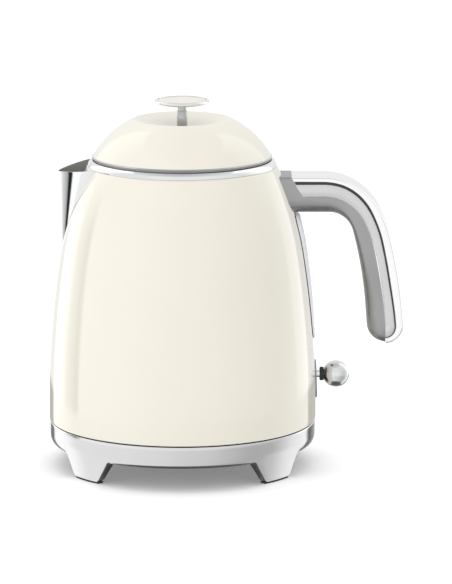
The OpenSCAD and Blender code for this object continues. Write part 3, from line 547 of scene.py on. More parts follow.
def jug_radius(height):
    """Outer radius of the jug: a long arc up the flank, then a tighter
    one over the shoulder that starts along the first one's slope."""
    height = np.asarray(height, float)
    start_lean = (shoulder_start - widest) / flank_r
    start_r = jug_r - flank_r * (1 - math.sqrt(1 - start_lean ** 2))
    flank = jug_r - flank_r * (1 - np.sqrt(1 - ((height - widest) / flank_r) ** 2))
    lean = start_lean + (height - shoulder_start) / shoulder_r
    lean = np.clip(lean, 0, 0.9)
    shoulder = start_r - shoulder_r * (math.sqrt(1 - start_lean ** 2)
                                       - np.sqrt(1 - lean ** 2))
    return np.where(height < shoulder_start, flank, shoulder)


def with_edges(values, *edges):
    """The values with each edge in place of the value nearest to it, so
    that a cut can run exactly along it."""
    values = np.array(values, float)
    for edge in edges:
        values[np.abs(values - edge).argmin()] = edge
    return values


lever_height = (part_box("lever_stem")[0].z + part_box("lever_stem")[1].z) / 2
stem_r = (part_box("lever_stem")[1].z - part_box("lever_stem")[0].z) / 2
gauge_low, gauge_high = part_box("water_gauge")
window_low = jug_top - 23 * MM
window_high = jug_top - 10 * MM
window_half = 6 * MM / (jug_r - 15 * MM)
gauge_half = 4 * MM / jug_r
lever_half = (stem_r + 0.7 * MM) / jug_r
lever_cut_low = lever_height - 8.5 * MM
lever_cut_high = lever_height + stem_r + 0.7 * MM
gauge_cut_low = gauge_low.z + 5 * MM
gauge_cut_high = gauge_high.z - 5 * MM

turns = with_edges(np.linspace(-np.pi / 8, 15 * np.pi / 8, 384, endpoint=False),
                   -lever_half, lever_half, -gauge_half, gauge_half,
                   np.pi - window_half, np.pi + window_half)
hem = arc_points((jug_r - 1.1 * MM, jug_bottom + 0.9 * MM), 0.9 * MM, -90, 0, 6)
wall_heights = with_edges(np.linspace(jug_bottom + 0.9 * MM, jug_top, 112),
                          window_low, window_high, gauge_cut_low,
                          gauge_cut_high, lever_cut_low, lever_cut_high)
hem_match = jug_radius(wall_heights[0]) - (jug_r - 0.2 * MM)
shell_profile = np.vstack([
    hem + (hem_match, 0),
    np.stack([jug_radius(wall_heights), wall_heights], 1)])
shell_grid = carried_round(np.broadcast_to(shell_profile,
                                           (len(turns), *shell_profile.shape)),
                           turns)


def cut_cells(centres):
    """True for faces whose centre lies in one of the jug's three cuts;
    centres holds each face's bearing and height."""
    bearing, height = centres[:, 0], centres[:, 1]
    cuts = ((np.pi, window_half, window_low, window_high),
            (0, gauge_half, gauge_cut_low, gauge_cut_high),
            (0, lever_half, lever_cut_low, lever_cut_high))
    gone = np.zeros(len(centres), bool)
    for middle, half, low, high in cuts:
        away = np.abs((bearing - middle + np.pi) % (2 * np.pi) - np.pi)
        gone |= (away < half) & (height > low) & (height < high)
    return gone


shell_faces = grid_faces(*shell_grid.shape[:2], True, False)[:, [0, 3, 2, 1]]
shell_points = shell_grid.reshape(-1, 3)
face_middles = shell_points[shell_faces].mean(1)
face_places = np.stack([np.arctan2(face_middles[:, 1], face_middles[:, 0] - axis_x),
                        face_middles[:, 2]], 1)
kept = ~cut_cells(face_places)
jug_shell = mesh_object("jug_shell_enamelled", shell_points, shell_faces[kept])
merge_close(jug_shell)
enamel = surface_material(
    "cream_enamel", (0.700, 0.672, 0.585), (0.715, 0.687, 0.60), 0.1,
    grain=260, grain_depth=0.02, blotch=12, roughness_spread=0.02, coat=0.6,
    specular=0.7)
bare_steel = surface_material(
    "bare_steel", (0.50, 0.50, 0.49), (0.62, 0.62, 0.61), 0.3, metallic=1,
    grain=900, grain_depth=0.15, stretch=(1, 1, 0.05))
finish_piece(jug_shell, enamel, "jug", "cream_paint", "jug_shell")
jug_shell.data.materials.append(bare_steel)
thickness = jug_shell.modifiers.new("sheet", "SOLIDIFY")
thickness.thickness = sheet
thickness.offset = -1
thickness.material_offset = 1
thickness.material_offset_rim = 1


# ---------------------------------------------------------------- collar
# Polished stainless band pressed over the jug's mouth, its top edge
# folded in, with a skirt that grips inside the sheet.
def rounded_outline(corners, radii, count=6):
    """Closed outline through the corners, each one replaced by an arc of
    its own radius that touches both of its sides."""
    corners = np.asarray(corners, float)
    outline = []
    for here, radius in enumerate(radii):
        corner = corners[here]
        back = corners[here - 1] - corner
        ahead = corners[(here + 1) % len(corners)] - corner
        back_len, ahead_len = np.linalg.norm(back), np.linalg.norm(ahead)
        back, ahead = back / back_len, ahead / ahead_len
        half = math.acos(np.clip(back @ ahead, -1, 1)) / 2
        reach = min(radius / math.tan(half), 0.49 * back_len, 0.49 * ahead_len)
        if radius <= 0 or half > math.radians(89):
            outline.append(corner[None])
            continue
        share = np.linspace(0, 1, count)[:, None]
        start, end = corner + back * reach, corner + ahead * reach
        outline.append((1 - share) ** 2 * start + 2 * share * (1 - share) * corner
                       + share ** 2 * end)
    return np.vstack(outline)


def turned_piece(name, outline, count=256, closed=True):
    """Carries an outline of (radius, height) points round the jug's axis.
    A closed outline makes a hollow ring, an open one starts and ends on
    the axis."""
    bearings = np.linspace(0, 2 * np.pi, count, endpoint=False)
    sections = np.broadcast_to(outline, (count, *outline.shape))
    return grid_object(name, carried_round(sections, bearings),
                       wrap_rows=True, wrap_columns=closed)


collar_low, collar_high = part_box("collar_ring")
collar_top = collar_high.z
mouth_r = float(jug_radius(jug_top))
collar_r = mouth_r - 2.4 * MM
throat_r = collar_r - 1.9 * MM
skirt_r = mouth_r - sheet - 0.1 * MM
collar_outline = rounded_outline(
    [(throat_r, collar_low.z), (skirt_r, collar_low.z), (skirt_r, jug_top),
     (mouth_r + 0.12 * MM, jug_top + 0.02 * MM),
     (mouth_r - 0.75 * MM, jug_top + 2.0 * MM),
     (collar_r, collar_top), (throat_r, collar_top)],
    np.array([0.3, 0.3, 0, 0.25, 6, 0.7, 0.5]) * MM)
mirror_steel = surface_material(
    "mirror_steel", (0.80, 0.805, 0.81), (0.86, 0.865, 0.87), 0.07,
    metallic=1, grain=700, grain_depth=0.02, roughness_spread=0.025)
collar = turned_piece("collar_band", collar_outline)
finish_piece(collar, mirror_steel, "jug", "polished_steel", "collar_ring")


# ----------------------------------------------------------------- spout
# Mirror-polished steel sheet folded to a rounded V, welded over the
# jug's pouring window. Every straight line of the fold runs down towards
# one point below the spout's foot.
spout_low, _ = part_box("spout")
tip_out = axis_x - spout_low.x - 0.05 * MM
tip_height = jug_top - 3.7 * MM
mouth_half = 23.4 * MM
mouth_back = 48.4 * MM
rim_rise = 3.9 * MM
nose_blunt = 0.09
fold_point = np.array([-68.6 * MM, 0, jug_top - 59.4 * MM])


def spout_rim(count=60):
    """The rim as points about the jug's axis. Going from the nose to the
    mouth, its half width grows as a quarter of a sine while its distance
    back grows first slowly, which blunts the nose, and then evenly. It
    rises a little from the nose to the mouth."""
    way = np.linspace(1, 0, count) ** 1.3
    width = mouth_half * np.sin(np.pi / 2 * way ** 0.97)
    back = ((np.sqrt(way ** 2 + nose_blunt ** 2) - nose_blunt)
            / (math.sqrt(1 + nose_blunt ** 2) - nose_blunt))
    half = np.stack([-tip_out + (tip_out - mouth_back) * back, width], 1)
    plan = np.vstack([half, (half * (1, -1))[-2::-1]])
    rise = (plan[:, 0] + tip_out) / (tip_out - mouth_back)
    return np.column_stack([plan, tip_height + rim_rise * np.clip(rise, 0, 1) ** 0.8])


def meets_jug(rim, count=600):
    """Share of the way from each rim point to the fold point at which
    its straight line passes into the jug."""
    share = np.linspace(0, 1, count)[None, :, None]
    lines = rim[:, None] * (1 - share) + fold_point * share
    inside = (np.hypot(lines[..., 0], lines[..., 1])
              < jug_radius(lines[..., 2]) - 0.25 * MM)
    inside[:, -1] = True
    return inside.argmax(1) / (count - 1)


rim = spout_rim()
down = meets_jug(rim)[:, None] * np.linspace(0, 1, 48)[None]
spout_grid = (rim[:, None] * (1 - down[..., None])
              + fold_point * down[..., None]) + (axis_x, 0, 0)
spout = grid_object("spout_folded", spout_grid)
spout_polish = surface_material(
    "spout_polish", (0.78, 0.785, 0.79), (0.84, 0.845, 0.85), 0.06,
    metallic=1, grain=600, grain_depth=0.015, roughness_spread=0.02)
finish_piece(spout, spout_polish, "jug", "polished_steel", "spout")
# painted shade: the inside of the spout takes a much darker steel than its outside,
# standing in for the shade within it
spout_inside_shade_steel = surface_material(
    "spout_inside_shade_steel", (0.26, 0.26, 0.265), (0.34, 0.34, 0.345), 0.35, metallic=1,
    grain=900, grain_depth=0.1)
spout.data.materials.append(spout_inside_shade_steel)
spout_sheet = spout.modifiers.new("sheet", "SOLIDIFY")
spout_sheet.thickness = 0.9 * MM
spout_sheet.offset = -1
spout_sheet.material_offset = 1
spout_edge = spout.modifiers.new("edge", "BEVEL")
spout_edge.width = 0.22 * MM
spout_edge.segments = 2
spout_edge.limit_method = "ANGLE"
spout_edge.angle_limit = math.radians(50)


# ---------------------------------------------------------- spout filter
# A thin steel strainer that lifts out of the spout, pierced by straight
# slots. It keeps the frame's shape.
dress_nodes(bare_steel, "spout_filter", "floor_plate", "steam_tube",
            "handle_tongue", "rocker_pin", "lever_pivot")


# ------------------------------------------------------------------- lid
# Deep-drawn steel dome in the same enamel, with a sunk top, standing on a
# rolled satin-steel bead. A plastic cup with a silicone lip hangs below
# it and plugs the mouth.
dome_low, dome_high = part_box("lid_dome")
rim_low, rim_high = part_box("lid_rim")
rim_bottom, dome_bottom = rim_low.z, rim_high.z
crease = dome_high.z
rim_r = (rim_high.y - rim_low.y) / 2
dome_r = (dome_high.y - dome_low.y) / 2
dish_r = 27.3 * MM
dish_bottom = crease - 5 * MM
dome_arc_r = 52.4 * MM


def arc_through(start, end, radius, count):
    """Points of an arc of the radius from start to end, bulging away
    from the axis and upwards."""
    start, end = np.asarray(start), np.asarray(end)
    middle, chord = (start + end) / 2, end - start
    length = np.hypot(*chord)
    centre = middle + (math.sqrt(radius ** 2 - length ** 2 / 4)
                       * np.array([-chord[1], chord[0]]) / length)
    first = math.atan2(*(start - centre)[::-1])
    last = math.atan2(*(end - centre)[::-1])
    turn = np.linspace(first, last, count)
    return centre + radius * np.stack([np.cos(turn), np.sin(turn)], 1)


def dish_points(drop, count):
    """Points of the shallow bowl from the crease down to the axis,
    moved down by drop."""
    radius = np.linspace(dish_r, 0, count)
    depth = crease - dish_bottom
    return np.stack([radius, dish_bottom + depth * (radius / dish_r) ** 2 - drop], 1)


dome_side = arc_through((dome_r, dome_bottom + 0.02 * MM), (dish_r, crease),
                        dome_arc_r, 60)
dish = dish_points(0, 30)
# the crease is eased by a short curve between the dome and the dish
before, after = dome_side[-3], dish[1]
ease = np.linspace(0, 1, 9)[:, None]
crease_curve = ((1 - ease) ** 2 * before + 2 * ease * (1 - ease) * dome_side[-1]
                + ease ** 2 * after)
lid_outside = np.vstack([dome_side[:-3], crease_curve, dish[2:]])
lid_inside = np.vstack([dish_points(1 * MM, 20)[::-1],
                        arc_through((dome_r - 1 * MM, dome_bottom + 0.02 * MM),
                                    (dish_r, crease - 1.2 * MM),
                                    dome_arc_r - 1 * MM, 30)[::-1][1:]])
lid_dome = turned_piece("lid_dome_enamelled", np.vstack([lid_outside, lid_inside]),
                        closed=True)
finish_piece(lid_dome, enamel, "lid", "cream_paint", "lid_dome")

bead_steel = surface_material(
    "bead_steel", (0.60, 0.605, 0.61), (0.66, 0.665, 0.67), 0.16, metallic=1,
    grain=1200, grain_depth=0.06)
lip_height = 1.2 * MM
liner_r = (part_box("lid_liner")[1].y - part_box("lid_liner")[0].y) / 2
bead_in = liner_r + 0.12 * MM
bead_outline = rounded_outline(
    [(bead_in, rim_bottom), (rim_r - 1.6 * MM, rim_bottom),
     (rim_r - 1.6 * MM, rim_bottom + lip_height),
     (rim_r - 0.25 * MM, rim_bottom + lip_height),
     (rim_r, dome_bottom - 0.5 * MM), (dome_r - 0.15 * MM, dome_bottom),
     (bead_in, dome_bottom)],
    np.array([0.1, 0.1, 0, 0.15, 0.4, 0.25, 0.1]) * MM)
lid_rim = turned_piece("lid_bead", bead_outline)
finish_piece(lid_rim, bead_steel, "lid", "rim_metal", "lid_rim")
pale_moulding = surface_material(
    "pale_moulding", (0.56, 0.56, 0.555), (0.62, 0.62, 0.615), 0.42,
    grain=1500, grain_depth=0.15)
grey_silicone = surface_material(
    "grey_silicone", (0.2, 0.2, 0.21), (0.26, 0.26, 0.27), 0.6,
    grain=2000, grain_depth=0.2)
dress_nodes(pale_moulding, "lid_liner", "rocker")
dress_nodes(grey_silicone, "lid_seal")
# a soft lip under the bead, on which the lid rests
lip_outline = rounded_outline(
    [(rim_r - 1.55 * MM, rim_bottom + 0.05 * MM),
     (rim_r - 0.35 * MM, rim_bottom + 0.05 * MM),
     (rim_r - 0.2 * MM, rim_bottom + lip_height - 0.03 * MM),
     (rim_r - 1.55 * MM, rim_bottom + lip_height - 0.03 * MM)],
    np.array([0.05, 0.2, 0.1, 0.05]) * MM)
lid_lip = turned_piece("lid_lip_silicone", lip_outline)
finish_piece(lid_lip, grey_silicone, "lid", "grey_silicone")


# ------------------------------------------------------------------ knob
# Chromed zinc saucer with a glossy cream inlay let into its top, on a
# turned steel stem that passes through the lid to a nut.
knob_low, knob_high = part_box("knob_disc")
knob_r = (knob_high.y - knob_low.y) / 2
knob_top, knob_bottom = knob_high.z, knob_low.z
inlay_r = knob_r - 2.1 * MM
bowl_turn = np.radians(np.linspace(0, 88, 16))
knob_lip = knob_top - 1.5 * MM
knob_bowl = np.stack([
    knob_r * (0.32 + 0.66 * np.sin(bowl_turn)),
    knob_lip - (knob_lip - knob_bottom) * np.cos(bowl_turn)], 1)
knob_edge = rounded_outline(
    [(knob_r - 0.25 * MM, knob_lip - 0.15 * MM), (knob_r, knob_lip + 0.5 * MM),
     (knob_r - 0.45 * MM, knob_top - 0.35 * MM), (inlay_r + 0.7 * MM, knob_top),
     (inlay_r + 0.08 * MM, knob_top - 0.1 * MM),
     (inlay_r + 0.08 * MM, knob_top - 1 * MM), (0.0005, knob_top - 1 * MM)],
    np.array([0, 0.5, 0.8, 0.5, 0.15, 0, 0]) * MM)
knob_outline = np.vstack([(0, knob_bottom), knob_bowl, knob_edge,
                          (0, knob_top - 1 * MM)])
knob_disc = turned_piece("knob_saucer", knob_outline, count=192, closed=False)
finish_piece(knob_disc, mirror_steel, "lid", "polished_steel", "knob_disc")

inlay_edge = inlay_r - 0.12 * MM
inlay_outline = np.vstack([
    (0, knob_top - 0.98 * MM), (inlay_edge, knob_top - 0.98 * MM),
    arc_points((inlay_edge - 0.35 * MM, knob_top - 0.55 * MM), 0.35 * MM, 0, 90, 6),
    (inlay_edge * 0.6, knob_top - 0.12 * MM), (0, knob_top - 0.08 * MM)])
knob_inlay = turned_piece("knob_disc_inlay", inlay_outline, count=160, closed=False)
inlay_gloss = surface_material(
    "inlay_gloss", (0.66, 0.63, 0.555), (0.68, 0.65, 0.575), 0.14, grain=300,
    grain_depth=0.02, coat=0.2, specular=0.4)
finish_piece(knob_inlay, inlay_gloss, "lid", "cream_inlay", "knob_inlay")

stem_low, stem_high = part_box("knob_stem")
stem_half = (stem_high.y - stem_low.y) / 2
stem_foot = dish_bottom + 0.06 * MM
neck_z = stem_high.z - 3 * MM
stem_outline = np.vstack([
    (0, stem_low.z), (stem_half - 1 * MM, stem_low.z),
    (stem_half - 1 * MM, stem_foot), (stem_half - 0.1 * MM, stem_foot),
    (stem_half, stem_foot + 0.2 * MM), (stem_half, neck_z - 0.2 * MM),
    (stem_half - 0.15 * MM, neck_z), (stem_half - 0.5 * MM, neck_z + 0.05 * MM),
    (stem_half - 0.5 * MM, stem_high.z), (0, stem_high.z)])
knob_stem = turned_piece("knob_stem_turned", stem_outline, count=96, closed=False)
stem_steel = surface_material(
    "stem_steel", (0.42, 0.42, 0.425), (0.5, 0.5, 0.505), 0.16, metallic=1,
    grain=900, grain_depth=0.03)
finish_piece(knob_stem, stem_steel, "lid", "polished_steel", "knob_stem")


# ---------------------------------------------------------------- handle
# Three long pieces carried along one bent path: a satin grip moulded in
# grey plastic, which fits the jug's side at its root, a silver insert let
# into its back, and over a narrow groove a chromed bow.
bow_low, bow_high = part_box("handle_bow")
handle_top, handle_low = bow_high.z, bow_low.z
handle_half = (bow_high.y - bow_low.y) / 2
cap_r = 10.5 * MM
cap_x = bow_high.x - axis_x - cap_r
cap_z = handle_low + cap_r
bend_x = float(jug_radius(handle_top)) + 24 * MM
root_x = float(jug_radius(handle_top)) + 6 * MM
bend_r = 37 * MM
outer_bends = ((bend_r, 0, 65), (2.15 * bend_r, 65, 76), (7.5 * bend_r, 76, 86))
inner_z = handle_top - 21.2 * MM


def bent_path(start, bends, counts):
    """Points and outward directions along arcs that follow one another
    from start, each given by its radius and by its first and last slope
    below level, in degrees."""
    points, outward = [], []
    here = np.asarray(start, float)
    for (radius, first, last), count in zip(bends, counts):
        slope = np.radians(np.linspace(first, last, count + 1))
        direction = np.stack([np.sin(slope), np.cos(slope)], 1)
        arc = here + radius * (direction - direction[0])
        points.append(arc[:-1])
        outward.append(direction[:-1])
        here = arc[-1]
    return np.vstack(points), np.vstack(outward), here


arc_pts, arc_out, arc_last = bent_path((bend_x, handle_top), outer_bends, (30, 10, 22))
level_share = np.linspace(0, 1, 14)[:-1, None]
level_pts = (np.array([root_x, handle_top]) * (1 - level_share)
             + np.array([bend_x, handle_top]) * level_share)
leg_share = np.linspace(0, 1, 7)[:-1, None]
leg_end = np.array([cap_x + cap_r, cap_z])
leg_pts = arc_last * (1 - leg_share) + leg_end * leg_share
lean_out = np.array([math.sin(math.radians(86)), math.cos(math.radians(86))])
leg_out = lean_out * (1 - leg_share) + np.array([1, 0]) * leg_share
cap_turn = np.radians(np.linspace(0, -90, 26))
cap_out = np.stack([np.cos(cap_turn), np.sin(cap_turn)], 1)
cap_pts = np.array([cap_x, cap_z]) + cap_r * cap_out
above_cap = arc_pts[:, 1] > cap_z
path = np.vstack([level_pts, arc_pts[above_cap], leg_pts, cap_pts])
path_out = np.vstack([np.tile((0, 1), (len(level_pts), 1)), arc_out[above_cap],
                      leg_out, cap_out])
steps = np.hypot(*np.diff(path, axis=0).T)
along = np.concatenate([[0], np.cumsum(steps)])
along /= along[-1]
cap_start = along[len(path) - len(cap_pts)]


def along_handle(*stops):
    """A size that changes along the handle: stops are (share of the way
    from root to end, size) and the change between them is eased."""
    places, sizes = np.array(stops, float).T
    share = np.clip(np.interp(along, places, np.arange(len(places))), 0,
                    len(places) - 1)
    whole = np.floor(share).clip(0, len(places) - 2).astype(int)
    part = share - whole
    part = part * part * (3 - 2 * part)
    return (sizes[whole] * (1 - part) + sizes[whole + 1] * part) * MM


bow_depth = along_handle((0, 2.5), (0.2, 2.6), (0.45, 4.6), (0.7, 5.0),
                         (cap_start, 4.4), (1, 2.9))
groove = along_handle((0, 2.1), (0.25, 1.9), (0.5, 1.25), (1, 1.0))
parting = along_handle((0, 11.3), (0.3, 11.0), (0.6, 10.5), (cap_start, 10.45),
                       (1, 10.45))


def root_slant(depth):
    """How far along the handle its pieces start at each depth: they meet
    the root block on a slanting line that curves out at its foot."""
    foot = np.clip((depth - 9.6 * MM) / (1.8 * MM), 0, 1)
    return 0.5 * depth + 1.6 * MM * foot ** 2


def with_ends(grid):
    """The grid with a first and a last row that are each one point, in
    the middle of the row beside it, so that its ends are closed."""
    first, last = (np.broadcast_to(grid[row].mean(0), grid[row].shape)
                   for row in (0, -1))
    return np.concatenate([first[None], grid, last[None]])


def carried_layer(name, section):
    """Carries a closed section along the handle. section is stations by
    points by 2, as distance across and depth below the outer edge; the
    first stations are pulled to the root's slanting line."""
    across, depth = section[..., 0], section[..., 1]
    place = path[:, None, :] - path_out[:, None, :] * depth[..., None]
    pull = np.clip((bend_x - path[:, 0]) / (bend_x - root_x), 0, 1)[:, None]
    pull = np.where(np.arange(len(path))[:, None] < len(level_pts), pull, 0)
    x = axis_x + place[..., 0] + pull * root_slant(depth)
    grid = np.stack([x, across, place[..., 1]], -1)
    return grid_object(name, with_ends(grid), wrap_columns=True)


def blended(thin, thick, size, thin_size, thick_size):
    """Sections between a thin and a thick one, by size."""
    share = ((size - thin_size) / (thick_size - thin_size))[:, None, None]
    return thin * (1 - share) + thick * share


def bow_section(depth):
    """Section of the bow: flat within, softly crowned without, with
    well rounded edges."""
    half = handle_half
    return rounded_outline(
        [(-half, depth), (-half, 0.3 * MM), (-0.5 * half, 0.1 * MM), (0, 0),
         (0.5 * half, 0.1 * MM), (half, 0.3 * MM), (half, depth)],
        np.array([0.25, 1.5, 4, 4, 4, 1.5, 0.25]) * MM, 10)


bow = carried_layer("handle_bow_chromed", blended(
    bow_section(2.4 * MM), bow_section(5 * MM), bow_depth, 2.4 * MM, 5 * MM))
bow_chrome = surface_material(
    "bow_chrome", (0.90, 0.905, 0.91), (0.93, 0.935, 0.94), 0.08, metallic=1,
    grain=500, grain_depth=0.012, roughness_spread=0.02)
finish_piece(bow, bow_chrome, "jug", "polished_steel", "handle_bow")

insert_from = bow_depth + groove
insert_to = parting - 0.2 * MM
across_share = np.array([-1, -1, -0.985, -0.6, 0.6, 0.985, 1, 1])
outer_side = np.zeros((len(path), 8))
outer_side[:, 0] = outer_side[:, 7] = 0.5
outer_side[:, 1] = outer_side[:, 6] = 0.06
insert_thick = (insert_to - insert_from)[:, None]
insert_depth = insert_from[:, None] + outer_side * insert_thick
back_share = np.array([1, 0.985, -0.985, -1])
back_depth = insert_from[:, None] + insert_thick * np.array([0.95, 1, 1, 0.95])
insert_section = np.stack([
    np.broadcast_to(np.concatenate([across_share, back_share]) * handle_half,
                    (len(path), 12)),
    np.hstack([insert_depth, back_depth])], -1)
insert = carried_layer("handle_insert_silver", insert_section)
silver_moulding = surface_material(
    "silver_moulding", (0.60, 0.60, 0.605), (0.66, 0.66, 0.665), 0.26,
    metallic=0.75, grain=2600, grain_depth=0.06)
finish_piece(insert, silver_moulding, "jug", "insert_plastic", "handle_insert")

# painted shade: a dark sheet lies in the groove, set back from its mouth, standing in for
# the shade deep in it
groove_shade_across = np.array([-0.86, -0.86, 0.86, 0.86]) * handle_half
groove_shade_depth = np.stack([
    bow_depth + groove * 0.97, bow_depth + 0.05 * MM, bow_depth + 0.05 * MM,
    bow_depth + groove * 0.97], 1)
groove_shade_sheet = carried_layer("handle_groove_painted_shade", np.stack([
    np.broadcast_to(groove_shade_across, groove_shade_depth.shape), groove_shade_depth], -1))
finish_piece(groove_shade_sheet, dark_moulding, "jug", "dark_plastic")

# the grip's upper edge: the jug's side, the root's slant, then the line
# where it meets the insert; its lower edge is the inside of the handle
parting_line = path - path_out * (parting + 0.2 * MM)[:, None]
parting_line[:, 0] += np.where(
    np.arange(len(path)) < len(level_pts),
    np.clip((bend_x - path[:, 0]) / (bend_x - root_x), 0, 1), 0) * root_slant(
        parting)
before_cap = len(path) - len(cap_pts)
cap_down = np.linspace(0, 1, len(cap_pts))[:, None]
parting_line[before_cap:] = (
    np.array([parting_line[before_cap - 1, 0], cap_z]) * (1 - cap_down)
    + np.array([cap_x, handle_low]) * cap_down)
inner_start = np.array([bend_x + 3.5 * MM, inner_z])
in_pts = bent_path(inner_start, ((13.9 * MM, 0, 75), (250 * MM, 75, 87)),
                   (40, 60))[0]
in_keep = in_pts[in_pts[:, 1] > cap_z + 1 * MM]


def resampled(points, shares):
    """Points at the shares of the way along a line of points."""
    way = np.concatenate([[0], np.cumsum(np.hypot(*np.diff(points, axis=0).T))])
    return np.stack([np.interp(shares * way[-1], way, points[:, k])
                     for k in range(2)], 1)


# stations pair the two edges: the level run, then the bend and the leg
level_count = len(level_pts)
bend_shares = np.linspace(0, 1, before_cap - level_count + 1)[1:]
inner_bend = np.vstack([in_keep, [(cap_x - cap_r, cap_z)]])
lower = np.vstack([
    np.linspace((root_x + 8.6 * MM, inner_z), inner_start, level_count),
    resampled(inner_bend, bend_shares)])
down_turn = np.radians(np.linspace(180, 270, len(cap_pts)))
lower_cap = np.array([cap_x, cap_z]) + cap_r * np.stack(
    [np.cos(down_turn), np.sin(down_turn)], 1)
lower = np.vstack([lower, lower_cap])[:len(path)]
upper = parting_line

root_count = 18
rise = np.linspace(0, 1, root_count)[:-1, None]
root_upper = np.vstack([
    np.tile((root_x - 0.3 * MM, handle_top), (6, 1)),
    (np.array([root_x - 0.3 * MM, handle_top]) * (1 - rise)
     + (upper[0] + (-0.15 * MM, 0)) * rise)])
root_lower = np.vstack([
    np.tile(lower[0] + (-2.5 * MM, 0), (6, 1)),
    (lower[0] + (-2.5 * MM, 0)) * (1 - rise) + lower[0] * rise])
upper = np.vstack([root_upper, upper])
lower = np.vstack([root_lower, lower])
stations = len(upper)
span = np.hypot(*(lower - upper).T)
in_cap = np.clip((np.arange(stations) - (stations - len(cap_pts))) / (len(cap_pts) - 1),
                 0, 1)
half_width = handle_half * (0.5 + 0.5 * np.sqrt(1 - 0.999 * in_cap ** 2))
top_round = np.interp(np.arange(stations), [0, 10, 22], [2.2, 1.6, 0.25]) * MM
top_round = np.minimum(top_round, 0.2 * span)
low_down = np.minimum(8.8 * MM, 0.86 * span)
low_in = 8.4 * MM * half_width / handle_half


def quarter(start, corner, end, count=9):
    """A quarter of an ellipse from start to end, bulging towards the
    corner, at each station; all three are stations by 2."""
    turn = np.linspace(0, np.pi / 2, count)[None, :, None]
    return (end[:, None] + (start - corner)[:, None] * (1 - np.sin(turn))
            + (corner - end)[:, None] * np.cos(turn))


def pair(across, depth):
    """Stations by 2 from distances across and depths."""
    return np.stack(np.broadcast_arrays(across, depth), 1)


zero = np.zeros(stations)
right = np.concatenate([
    quarter(pair(half_width - top_round, zero), pair(half_width, zero),
            pair(half_width, top_round)),
    quarter(pair(half_width, span - low_down), pair(half_width, span),
            pair(half_width - low_in, span), 15)], 1)
left = right[:, ::-1] * (-1, 1)
grip_section = np.concatenate([right, left], 1)
down = ((lower - upper) / np.maximum(span, 1e-9)[:, None])[:, None]
grip_place = upper[:, None] + down * grip_section[..., 1:]
grip_grid = np.stack([axis_x + grip_place[..., 0], grip_section[..., 0],
                      grip_place[..., 1]], -1)
# the first stations run back to the jug's own surface
jug_side = np.sqrt(jug_radius(grip_grid[0, :, 2]) ** 2
                   - grip_grid[0, :, 1] ** 2) + 0.06 * MM + axis_x
back = np.linspace(1, 0, 6)[:, None]
grip_grid[:6, :, 0] = grip_grid[:6, :, 0] * (1 - back) + jug_side * back
grip = grid_object("handle_grip_moulded", with_ends(grip_grid),
                   wrap_columns=True)
grip_moulding = surface_material(
    "grip_moulding", (0.33, 0.33, 0.335), (0.38, 0.38, 0.385), 0.36,
    metallic=0.85, grain=2600, grain_depth=0.08)
finish_piece(grip, grip_moulding, "jug", "grip_plastic", "handle_grip")


# ----------------------------------------------------------- water gauge
# Clear moulded strip behind the handle, bedded on a thin black gasket. It
# stands furthest from the jug at its upper end.
def on_jug(across, height, out):
    """Points on the handle's side of the jug at distances across and
    heights, standing out from its surface."""
    radius = jug_radius(height) + out
    return np.stack([axis_x + np.sqrt(radius ** 2 - across ** 2), across, height], -1)


def stadium(bottom, top, half, count=24):
    """Closed outline of an upright strip with round ends, as (across,
    height), and beside it the nearest point of the strip's middle line."""
    turn = np.linspace(0, np.pi, count)
    rise = np.linspace(bottom + half, top - half, 20)[1:-1]
    upper_end = np.stack([half * np.cos(turn), top - half + half * np.sin(turn)], 1)
    lower_end = np.stack([-half * np.cos(turn), bottom + half - half * np.sin(turn)], 1)
    left_side = np.stack([np.full(18, -half), rise[::-1]], 1)
    right_side = np.stack([np.full(18, half), rise], 1)
    outline = np.vstack([upper_end, left_side, lower_end, right_side])
    spine = np.column_stack([np.zeros(len(outline)),
                             np.clip(outline[:, 1], bottom + half, top - half)])
    return outline, spine


def strip_piece(name, bottom, top, half, bed, out, edge):
    """A strip lying on the jug from height bed to out(height), with an
    edge rounded over a share of its half width."""
    outline, spine = stadium(bottom, top, half)
    inwards = np.concatenate([np.linspace(0, 1 - edge, 6),
                              1 - edge + edge * np.sin(np.linspace(0, np.pi / 2, 9)[1:])])
    drop = np.concatenate([np.zeros(6),
                           1 - np.cos(np.linspace(0, np.pi / 2, 9)[1:])])
    place = spine[:, None] + (outline - spine)[:, None] * inwards[:, None]
    rise = out(place[..., 1])
    face = on_jug(place[..., 0], place[..., 1], rise - (rise - bed) * drop * 0.96)
    under = on_jug(place[..., 0], place[..., 1], np.full_like(rise, bed))
    grid = np.concatenate([face, under[:, ::-1]], 1)
    return grid_object(name, grid, wrap_rows=True)


def gauge_out(height):
    """The strip stands out further the higher it goes."""
    share = np.clip((height - gauge_low.z) / (gauge_high.z - gauge_low.z), 0, 1)
    return 0.9 * MM + 1.7 * MM * share ** 0.8


gauge_bed = strip_piece("gauge_bed_gasket", gauge_low.z + 0.1 * MM,
                        gauge_high.z - 0.1 * MM, 6.5 * MM, 0.04 * MM,
                        lambda height: np.full_like(height, 0.35 * MM), 0.08)
finish_piece(gauge_bed, black_rubber, "jug", "black_rubber")
water_gauge = strip_piece("water_gauge_window", gauge_low.z + 0.3 * MM,
                          gauge_high.z - 0.3 * MM, 6.3 * MM, 0.37 * MM,
                          lambda height: gauge_out(height) + 0.3 * MM, 0.3)
gauge_plastic = surface_material(
    "gauge_plastic", (0.74, 0.75, 0.79), (0.80, 0.81, 0.84), 0.12,
    grain=500, grain_depth=0.02)
finish_piece(water_gauge, gauge_plastic, "jug", "clear_gauge", "water_gauge")


